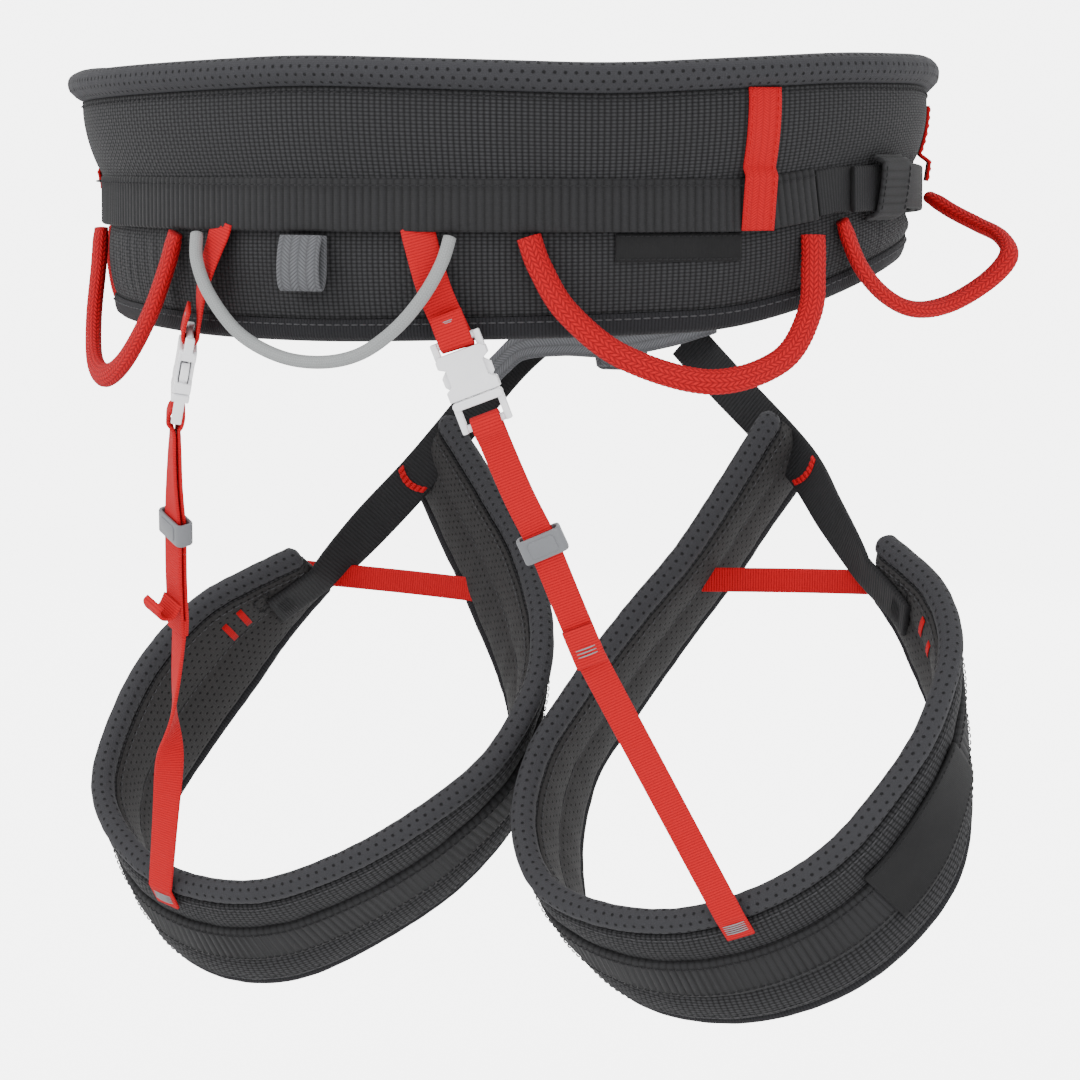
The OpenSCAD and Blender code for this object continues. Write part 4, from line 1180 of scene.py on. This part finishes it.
def riser_keeper(word, s):
    """A flat sleeve round the folded elastic, with a plain raised badge on its face."""
    axes = riser_axes(s, unit(LOWER[3] - LOWER[1]), 0.0)
    origin = on_side(s, LOWER[2])
    pts = rounded(RISER_W + 3.9, 5.2, 1.5, n=5, flat=4)
    ring = placed(np.stack([pts[:, 0], pts[:, 1] - 0.2, 0 * pts[:, 0]], 1), origin, *axes)
    up = np.broadcast_to(axes[2], ring.shape)
    rim = skin("rim", sweep(ring, up, rounded(8.4, 1.2, 0.45, n=4, flat=3), True), closed=True)
    plate = prism([(-4.6, -2.1), (-3.8, -2.9), (3.8, -2.9), (4.6, -2.1), (4.6, 2.1), (3.8, 2.9), (-3.8, 2.9),
                   (-4.6, 2.1)], -3.75, -2.6, 0.3)
    for v in plate.verts:
        v.co = Vector(placed(np.array(v.co)[None], origin, *axes)[0] * MM)
    badge = bpy.data.meshes.new("badge")
    plate.to_mesh(badge)
    plate.free()
    finish(merge("riser_keeper_body_" + word, [rim, show("badge", badge)]), grey_plastic, "keeper_" + word,
           "grey_plastic", "riser_keeper_" + word)


for word, s in SIDES.items():
    clip_socket(word, s)
    clip_plug(word, s)
    riser_keeper(word, s)
print("clips and keepers made")

# %% [markdown]
# Leg loops. Each is a padded band round the thigh. Its middle line, the way down
# the thigh and its width are given at seventeen places, and a smooth curve runs
# through them. The right and left loops hang differently, so each has its own
# points.

# %% Leg loop surface
LEG = {
    "right": [[[121, 54, -125], [-0.58, 0.68, -0.44], 0.6], [[141, 45, -141], [-0.65, 0.66, -0.38], 0.75],
              [[155, 33, -160], [-0.5, 0.8, -0.33], 0.87], [[162, 18, -184], [-0.1, 0.95, -0.28], 0.95],
              [[157, 2, -212], [0.28, 0.87, -0.4], 1], [[142, -9, -233], [0.34, 0.74, -0.58], 1],
              [[121, -18, -247], [0.3, 0.66, -0.69], 1], [[93, -23, -255], [0.17, 0.65, -0.74], 1],
              [[62, -22, -254], [0, 0.7, -0.71], 1], [[36, -15, -243], [-0.08, 0.82, -0.56], 0.97],
              [[22, -3, -221], [-0.08, 0.93, -0.35], 0.93], [[20, 12, -196], [-0.05, 0.97, -0.24], 0.89],
              [[29, 26, -173], [0, 0.96, -0.27], 0.84], [[41, 40, -150], [0, 0.95, -0.32], 0.78],
              [[54, 53, -128], [0, 0.95, -0.31], 0.73], [[64, 66, -106], [0.05, 0.92, -0.38], 0.67],
              [[75, 80, -82], [0.2, 0.82, -0.54], 0.6]],
    "left": [[[-103, 45, -135], [-0.15, 0.87, -0.48], 0.6], [[-118, 37, -148], [0.05, 0.86, -0.5], 0.75],
             [[-131, 27, -163], [0.14, 0.79, -0.6], 0.87], [[-144, 14, -186], [0.12, 0.8, -0.58], 0.93],
             [[-150, -3, -213], [-0.05, 0.92, -0.38], 0.96], [[-143, -14, -233], [-0.22, 0.88, -0.42], 1],
             [[-126, -24, -249], [-0.34, 0.74, -0.58], 1], [[-101, -28, -257], [-0.34, 0.65, -0.68], 1],
             [[-72, -27, -255], [-0.27, 0.66, -0.7], 1], [[-41, -19, -241], [-0.18, 0.76, -0.62], 1],
             [[-18, -8, -224], [-0.15, 0.83, -0.53], 1], [[0, 5, -201], [-0.24, 0.9, -0.37], 0.95],
             [[1, 19, -177], [-0.55, 0.82, -0.15], 0.88], [[-7, 31, -157], [-0.76, 0.64, -0.12], 0.82],
             [[-26, 46, -133], [-0.87, 0.46, -0.17], 0.74], [[-43, 56, -115], [-0.87, 0.41, -0.25], 0.68],
             [[-68, 71, -90], [-0.75, 0.36, -0.55], 0.6]],
}
MIDDLE = {"right": np.array([88.0, 20, -176]), "left": np.array([-78.0, 18, -176])}
LEG_W, LEG_T, LEG_ROLL, LEG_BEAD, LEG_WEB, STRAP_W = 56.0, 8.0, 8.5, 5.6, 17.0, 15.0
LEG_STEPS, WEB_DROP = 48, 1.2


def leg_frame(word, i):
    """Middle point, down and out directions and half width at step i of a leg loop."""
    rows = LEG[word]
    t = np.asarray(i, float) / 3
    p = smooth_at([r[0] for r in rows], t)
    ahead = smooth_at([r[0] for r in rows], np.minimum(t + 0.12, 16))
    behind = smooth_at([r[0] for r in rows], np.maximum(t - 0.12, 0))
    h = unit(ahead - behind)
    down = across(smooth_at([r[1] for r in rows], t), h)
    out = np.cross(down, h)
    out = out * np.sign(np.sum(out * (p - MIDDLE[word]), -1, keepdims=True))
    half = smooth_at([[r[2], 0, 0] for r in rows], t)[..., 0] * LEG_W / 2
    return p, down, out, half


def leg_at(word, i, v, off):
    """The point at step i, v down the thigh from the middle line and off outwards."""
    p, down, out, _ = leg_frame(word, i)
    return p + down * np.asarray(v)[..., None] + out * np.asarray(off)[..., None]


def web_half(half):
    """Half the width of the ribbed band, which narrows with the padding."""
    return np.minimum(LEG_WEB / 2, half - 9)


def leg_puff(half, v, inner):
    """Swelling of the padding between its seams, outside and inside."""
    a, b = -half + LEG_ROLL, half - LEG_BEAD
    if inner:
        left = np.clip((v - a) / np.maximum(0.5 - a, 1), 0, 1)
        right = np.clip((v - 0.5) / np.maximum(b - 0.5, 1), 0, 1)
        return np.sin(np.pi * np.where(v < 0.5, left, right)) ** 0.6 * 1.5 - 0.7
    web = web_half(half) + 0.6
    up, down = WEB_DROP - web, WEB_DROP + web
    left = np.clip((v - a) / np.maximum(up - a, 1), 0, 1)
    right = np.clip((v - down) / np.maximum(b - down, 1), 0, 1)
    return np.where(v < up, 1.1 * np.sin(np.pi * left) ** 0.7,
                    np.where(v > down, 1.1 * np.sin(np.pi * right) ** 0.7, -0.15))


print("leg loop surface ready")

# %% [markdown]
# The padding is one closed skin again: a net outside, a punched lining inside
# with a seam sewn down its middle, and flat sewn ends.

# %% Leg padding, rolls and beads
def leg_padding(word):
    rings, across_count = 560, 26
    steps = np.linspace(0, LEG_STEPS, rings)
    i = steps[:, None]
    _, _, out, half = leg_frame(word, steps)
    half = half[:, None]
    s = np.linspace(0, 1, across_count)[None]
    v = (-half + LEG_ROLL - 0.4) * (1 - s) + (half - LEG_BEAD + 0.4) * s
    ii = np.broadcast_to(i, v.shape)
    thin = 0.4 + 0.6 * fade_in(np.minimum(i, LEG_STEPS - i) * 12, 10)
    ripple = 0.16 * np.sin(i * 2.1 + 1.5 * np.sin(i * 0.5)) * np.sin(np.pi * s)
    ripple = ripple + 0.1 * np.sin(i * 4.7 + v * 0.2)
    outer = leg_at(word, ii, v, (LEG_T / 2 + leg_puff(half, v, False) + ripple) * thin)
    inner = leg_at(word, ii, v, -(LEG_T / 2 + leg_puff(half, v, True) + ripple) * thin)
    made = skin("leg_padding_" + word, np.concatenate([outer, inner[:, ::-1]], 1))
    finish(made, net_face, "leg_" + word, "woven_mesh", "leg_pad_" + word)
    near = np.repeat(np.arange(rings - 1), 2 * across_count)
    outward = out[np.concatenate([near, [0, rings - 1]])]
    line_with_mesh(made, (face_vectors(made, "normal") * outward).sum(1) < -0.2)


def leg_tube(name, word, centre, width, thick, lift_out, material, node):
    """A soft tube along an edge of the loop, its middle at centre of the half width."""
    i = np.linspace(-0.12, LEG_STEPS + 0.12, 640)
    p, down, out, half = leg_frame(word, np.clip(i, 0, LEG_STEPS))
    v = centre(half)
    ends = 0.5 + 0.5 * fade_in(np.minimum(i + 0.12, LEG_STEPS + 0.12 - i) * 12, 7)
    gathers = 1 + 0.018 * np.sin(i * 6.3) * np.sin(i * 1.1)
    a = np.radians(np.arange(0, 360, 20))
    r = (ends * gathers)[:, None]
    rings = ((p + down * v[:, None] + out * lift_out)[:, None]
             + down[:, None] * (np.cos(a)[None] * width / 2 * r)[..., None]
             + out[:, None] * (np.sin(a)[None] * thick / 2 * r)[..., None])
    finish(skin(name, rings), material, "leg_" + word, "spacer_mesh", node)


def leg_band(word):
    p, down, out, half = leg_frame(word, np.linspace(3, 45, 1150))
    t = np.array([-1, -0.93, -0.6, -0.2, 0.2, 0.6, 0.93, 1.0])
    ridge = (np.abs(np.sin(np.pi * lengths(p) / 2.7)) ** 0.8)[:, None] * (np.abs(t) < 0.8)
    v = WEB_DROP + web_half(half)[:, None] * t
    top = LEG_T / 2 + 0.25 + 1.6 * np.where(np.abs(t) > 0.98, 0.55, 1)[None] + 0.42 * ridge
    face = p[:, None] + down[:, None] * v[..., None] + out[:, None] * top[..., None]
    rear = p[:, None] + down[:, None] * v[..., None] + out[:, None] * (LEG_T / 2 - 0.4)
    finish(skin("leg_band_" + word, np.concatenate([face, rear[:, ::-1]], 1)), ribbed, "leg_" + word,
           "ribbed_webbing", "leg_band_" + word)


def leg_line(word, i0, i1, v, off, n=400):
    """A line for stitches along the loop, on its outer face or, with off below 0, its inner one."""
    p, down, out, half = leg_frame(word, np.linspace(i0, i1, n))
    v = v(half) if callable(v) else v + 0 * half
    return p + down * v[:, None] + out * off, out * np.sign(off)


def leg_stitches(word):
    band = [lambda half: WEB_DROP - web_half(half) + 2.0, lambda half: WEB_DROP + web_half(half) - 2.0]
    stitch_rows("leg_band_stitches_" + word, [leg_line(word, 3.2, 44.8, v, 6.35) for v in band], black_thread,
                "leg_" + word, "ribbed_webbing", length=2.0, space=0.7)
    by_roll, by_bead = (lambda half: -half + LEG_ROLL + 1.2), (lambda half: half - LEG_BEAD - 1.0)
    seams = [(by_roll, 4.5), (by_bead, 4.5), (by_roll, -4.4), (0.5, -3.6)]
    stitch_rows("leg_seam_stitches_" + word, [leg_line(word, 0.5, 47.5, v, off) for v, off in seams],
                pale_thread, "leg_" + word, "woven_mesh", length=2.0, space=0.9, thread=0.22)


for word in SIDES:
    leg_padding(word)
    leg_tube("leg_roll_" + word, word, lambda half: -half + LEG_ROLL / 2, LEG_ROLL, LEG_ROLL, 0.4,
             spacer, "leg_rim_" + word)
    leg_tube("leg_bead_" + word, word, lambda half: half - LEG_BEAD / 2, LEG_BEAD, LEG_BEAD + 1, 0.0,
             grosgrain, "leg_edge_" + word)
    leg_band(word)
    leg_stitches(word)
    print("leg loop", word, "made")

# %% [markdown]
# The right leg loop carries a blank black label over its band, stitched down
# along both long edges.

# %% Leg label
def leg_label():
    p, down, out, _ = leg_frame("right", np.linspace(9, 14, 70))
    v = np.linspace(-12, 13, 22)
    edge_fall = 0.35 * (1 - fade_in(np.minimum(v + 12, 13 - v), 1.5))
    hug = LEG_T / 2 + 0.25 + 1.6 + 0.5
    flat = p[:, None] + down[:, None] * v[None, :, None]
    top = flat + out[:, None] * (hug + 0.7 - edge_fall)[None, :, None]
    low = flat + out[:, None] * (hug - 0.6)
    finish(skin("leg_blank_label", np.concatenate([top, low[:, ::-1]], 1)), satin, "leg_right", "label",
           "leg_label")
    rows = [leg_line("right", 9.15, 13.85, v0, hug + 0.62, 60) for v0 in (-10.8, 11.8)]
    stitch_rows("leg_label_stitches", rows, black_thread, "leg_right", "label", length=1.4, space=0.6,
                thread=0.2)


leg_label()
print("leg label made")

# %% [markdown]
# The straps of the leg loops: a black strap from the tie-in to the outer end of
# each padding, a thin red elastic behind the leg, and the riser's single layer,
# which is sewn over the roll. That layer spans the joint between belt and leg.

# %% Leg straps
STRAP_TOP = {"right": [[30, 84.5, -50], [46, 82, -64]], "left": [[-30, 84.5, -50], [-44, 81, -64]]}
FOOT_AT = {"right": 19, "left": 20}


def leg_along(word, i):
    """The way along the loop at step i."""
    return unit(leg_frame(word, i + 0.3)[0] - leg_frame(word, i - 0.3)[0])


def leg_strap(word):
    """The black strap from the tie-in, past the inner end of the padding and sewn into the outer one."""
    k = 1 if word == "right" else -1
    o = -LEG_T / 2 - 1.9
    over, end = leg_at(word, LEG_STEPS - 1, 2, o - 0.8), leg_at(word, 0, 0, o)
    hand_set = [*STRAP_TOP[word], over, (over + end) / 2, end]
    free = smooth_at(hand_set, np.linspace(0, 4, 81))
    sewn = np.array([leg_at(word, q, 0, o) for q in np.linspace(0.2, 3, 15)])
    path = np.concatenate([free, sewn])
    run = np.cross(unit(end - over), [0, -1, 0.1]) * k
    f = np.minimum(1, np.arange(len(path)) / (len(free) - 1))[:, None] ** 3
    side = unit(run * (1 - f) + leg_frame(word, 2)[1] * f)
    made = webbing("leg_strap_web_" + word, path, side, STRAP_W, 1.8, 1.3, 0.12)
    finish(made, plain_web, "leg_" + word, "black_webbing", "leg_strap_" + word)
    _, down, out, _ = leg_frame(word, 2.4)
    bar_tack("leg_strap_tack_" + word, leg_at(word, 2.3, 0, o - 0.95), down * 11,
             unit(sewn[-1] - sewn[0]) * 5, -out, "leg_" + word, "black_webbing", black_thread, rows=6)
    strap_arc(word, free, side)


def strap_arc(word, free, side):
    """A curved red bar tack across the free strap, where it passes the padding's inner end."""
    crossing = 45
    h = unit(free[crossing + 3] - free[crossing - 3])
    w = across(side[crossing], h)
    n = np.cross(h, w)
    n = n if n[1] < 0 else -n
    x = np.linspace(-6.3, 6.3, 18)[:, None]
    arc = free[crossing] + w * x - h * x ** 2 * 0.06 + n * 1.1
    rows = [(arc + h * d, np.broadcast_to(n, arc.shape)) for d in (-0.9, -0.3, 0.3, 0.9)]
    stitch_rows("leg_strap_bar_" + word, rows, red_thread, "leg_" + word, "black_webbing", length=1.7,
                space=0.05, thread=0.42)


def leg_elastic(word):
    o = LEG_T / 2 + 1.6
    a, b = leg_at(word, 41, 0, o), leg_at(word, 1, 5.5, o)
    path = route([a, (a + b) / 2 + [0, 3, 0], b], 0.6)
    finish(webbing("leg_elastic_strap_" + word, path, [0, 0.1, 1], 8.5, ELASTIC_T), red_elastic,
           "leg_" + word, RED_SLOT, "leg_elastic_" + word)


def riser_strap(word, s):
    """The single layer from the fold down over the leg loop's roll, sewn at its foot."""
    i = FOOT_AT[word]
    p, down, out, half = leg_frame(word, i)
    lap = on_side(s, p + down * (-half + 2.5) + out * 6.4)
    end = on_side(s, p + down * (-half + 12) + out * 6.0)
    t = i / 3
    rows = [r[0] for r in LEG[word]]
    along = unit(smooth_at(rows, t + 0.1) - smooth_at(rows, t - 0.1))
    d = unit(LOWER[4] - LOWER[3])
    top = LOWER[4] + unit(lap - LOWER[4]) * 1.1
    above = LOWER[4] - d * 6 + across(OUT, d) * 0.25
    hand_set = [above, top, top + (lap - top) * 0.35, top + (lap - top) * 0.7, lap]
    free = smooth_at(hand_set, np.linspace(0, 4, 110))
    sewn = np.stack([lap + (end - lap) * q for q in np.linspace(0.06, 1, 12)])
    path = np.concatenate([free, sewn])
    q = np.linspace(0, 1, len(path))[:, None]
    side = unit(SIDE * (1 - q) + on_side(s, -along) * s * q)
    made = webbing("riser_strap_web_" + word, on_side(s, path), on_side(s, side), RISER_W, ELASTIC_T)
    made.data.materials.append(red_elastic)
    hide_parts("riser_strap_" + word)
    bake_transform(made)
    bar_tack("riser_foot_tack_" + word, on_side(s, (lap + end) / 2) + out * 0.75, along * 8, down * 4.5, out,
             "leg_" + word, RED_SLOT, grey_thread, rows=5)


def red_bars(word, spots):
    """Short red bar tacks on the inner face, where the strap's end is held."""
    for k, (step, v, length) in enumerate(spots):
        _, down, out, _ = leg_frame(word, step)
        bar_tack("leg_red_bar_%s_%d" % (word, k), leg_at(word, step, v, -(LEG_T / 2 + 0.75)),
                 down * length, leg_along(word, step) * 2.4, -out, "leg_" + word, "black_webbing",
                 red_thread, rows=5, lift_by=0.1)


def box_stitch(word, step, v, size):
    """A square of stitches with one diagonal."""
    _, down, out, _ = leg_frame(word, step)
    along = leg_along(word, step)
    c = leg_at(word, step, v, -(LEG_T / 2 + 0.8))
    turns = ((-1, -1), (1, -1), (1, 1), (-1, 1), (-1, -1), (1, 1))
    pts = [c + (down * a + along * b) * size / 2 for a, b in turns]
    rows = [(np.stack(pair), np.stack([-out, -out])) for pair in zip(pts, pts[1:])]
    stitch_rows("leg_box_stitch_" + word, rows, black_thread, "leg_" + word, "black_webbing", length=1.7,
                space=0.5, thread=0.32)


def riser_tail(word, s):
    """The folded, sewn end of the riser's loose layer, over the joint of the two straps."""
    d = unit(LOWER[4] - LOWER[3])
    face = across(OUT, d)
    # Each pair is how far down the strap and how far off its face. The left tail curls outwards.
    turns = {"right": [(-11, 2.3), (-4, 2.6), (1.5, 2.4), (2.6, 1.4), (1.2, 0.8)],
             "left": [(-13, 1.9), (-9, 4.5), (-9.6, 8.6), (-12.6, 10), (-14, 8.4)]}
    pts = [LOWER[4] + d * a + face * b for a, b in turns[word]]
    side = np.broadcast_to(across(SIDE, d), (len(pts), 3))
    finish(strap_piece("riser_tail_" + word, s, pts, side, RISER_W + 0.6, 1.3), red_elastic, "belt", RED_SLOT)
    if word == "right":
        bar_tack("riser_tail_tack", LOWER[4] - d * 2.5 + face * 3.3, across(SIDE, d) * 7, d * 3.6, face,
                 "belt", RED_SLOT, grey_thread, rows=3)


for word, s in SIDES.items():
    leg_strap(word)
    leg_elastic(word)
    riser_strap(word, s)
    riser_tail(word, s)
red_bars("left", [(4.4, -6.5, 9), (5.4, -5.5, 9)])
red_bars("right", [(4.0, -6.5, 9), (5.0, -5.5, 7)])
box_stitch("left", 3.0, -6.5, 7)
box_stitch("right", 2.2, -6.0, 7)
print("leg straps made")

# %% [markdown]
# A pale floor curves up into a wall all round, and a few large soft lamps light
# the harness, as in a product studio. The card looks whiter than the light it
# gives, so that the cloth stays dark against it. The lamps have no hard edges,
# so the shadows stay faint.

# %% Studio
FLOOR_Z, FLOOR_R, BEND, WALL_TOP = -0.33, 3.4, 1.4, 4.5
LAMPS = (("key", (-0.8, -1.0, 1.3), 1.9, 26, 1.3), ("fill", (1.4, -0.9, 0.5), 2.0, 14, 1.4),
         ("top", (0.1, 0.3, 1.0), 1.8, 16, 1.5), ("rear", (-0.4, 1.2, 0.4), 2.0, 9, 1.2))


def studio_bowl():
    """The floor, its bend and the wall: one outline turned round the middle."""
    outline = [(FLOOR_R * q, FLOOR_Z) for q in np.linspace(0.02, 1, 12)]
    outline += [(FLOOR_R + BEND * math.sin(a), FLOOR_Z + BEND * (1 - math.cos(a)))
                for a in np.linspace(0.1, math.pi / 2, 16)]
    outline.append((FLOOR_R + BEND, WALL_TOP))
    count = 96
    around = np.linspace(0, 2 * math.pi, count, endpoint=False)
    verts = [(r * math.cos(t), r * math.sin(t), z) for r, z in outline for t in around]
    faces = [[k + j, k + (j + 1) % count, k + count + (j + 1) % count, k + count + j]
             for k in range(0, count * (len(outline) - 1), count) for j in range(count)]
    faces.append(list(range(count - 1, -1, -1)))
    mesh = bpy.data.meshes.new("studio_floor")
    mesh.from_pydata(verts, [], faces)
    return show("studio_floor", mesh)


def pale_card():
    card, tree, shader = new_material("pale_card")
    shader.inputs["Base Color"].default_value = (0.4, 0.4, 0.4, 1)
    shader.inputs["Roughness"].default_value = 0.9
    shader.inputs["Emission Color"].default_value = (1, 1, 1, 1)
    seen = add(tree, "ShaderNodeLightPath").outputs["Is Camera Ray"]
    glow = calc(tree, "ADD", 1.1, calc(tree, "MULTIPLY", seen, 4.0))
    wire(tree, glow, shader.inputs["Emission Strength"])
    return card


bowl = studio_bowl()
bowl.data.materials.append(pale_card())
world = bpy.data.worlds.new("studio")
world.use_nodes = True
world.node_tree.nodes["Background"].inputs[0].default_value = (1, 1, 1, 1)
world.node_tree.nodes["Background"].inputs[1].default_value = 0.9
bpy.context.scene.world = world
for name, way, far, power, size in LAMPS:
    lamp = bpy.data.lights.new(name, "AREA")
    lamp.energy = power
    lamp.size = size
    made = bpy.data.objects.new(name, lamp)
    way = Vector(way).normalized()
    made.location = AIM + way * far
    made.rotation_euler = way.to_track_quat("Z", "Y").to_euler()
    bpy.context.collection.objects.link(made)
print("studio lit by", len(LAMPS), "lamps")
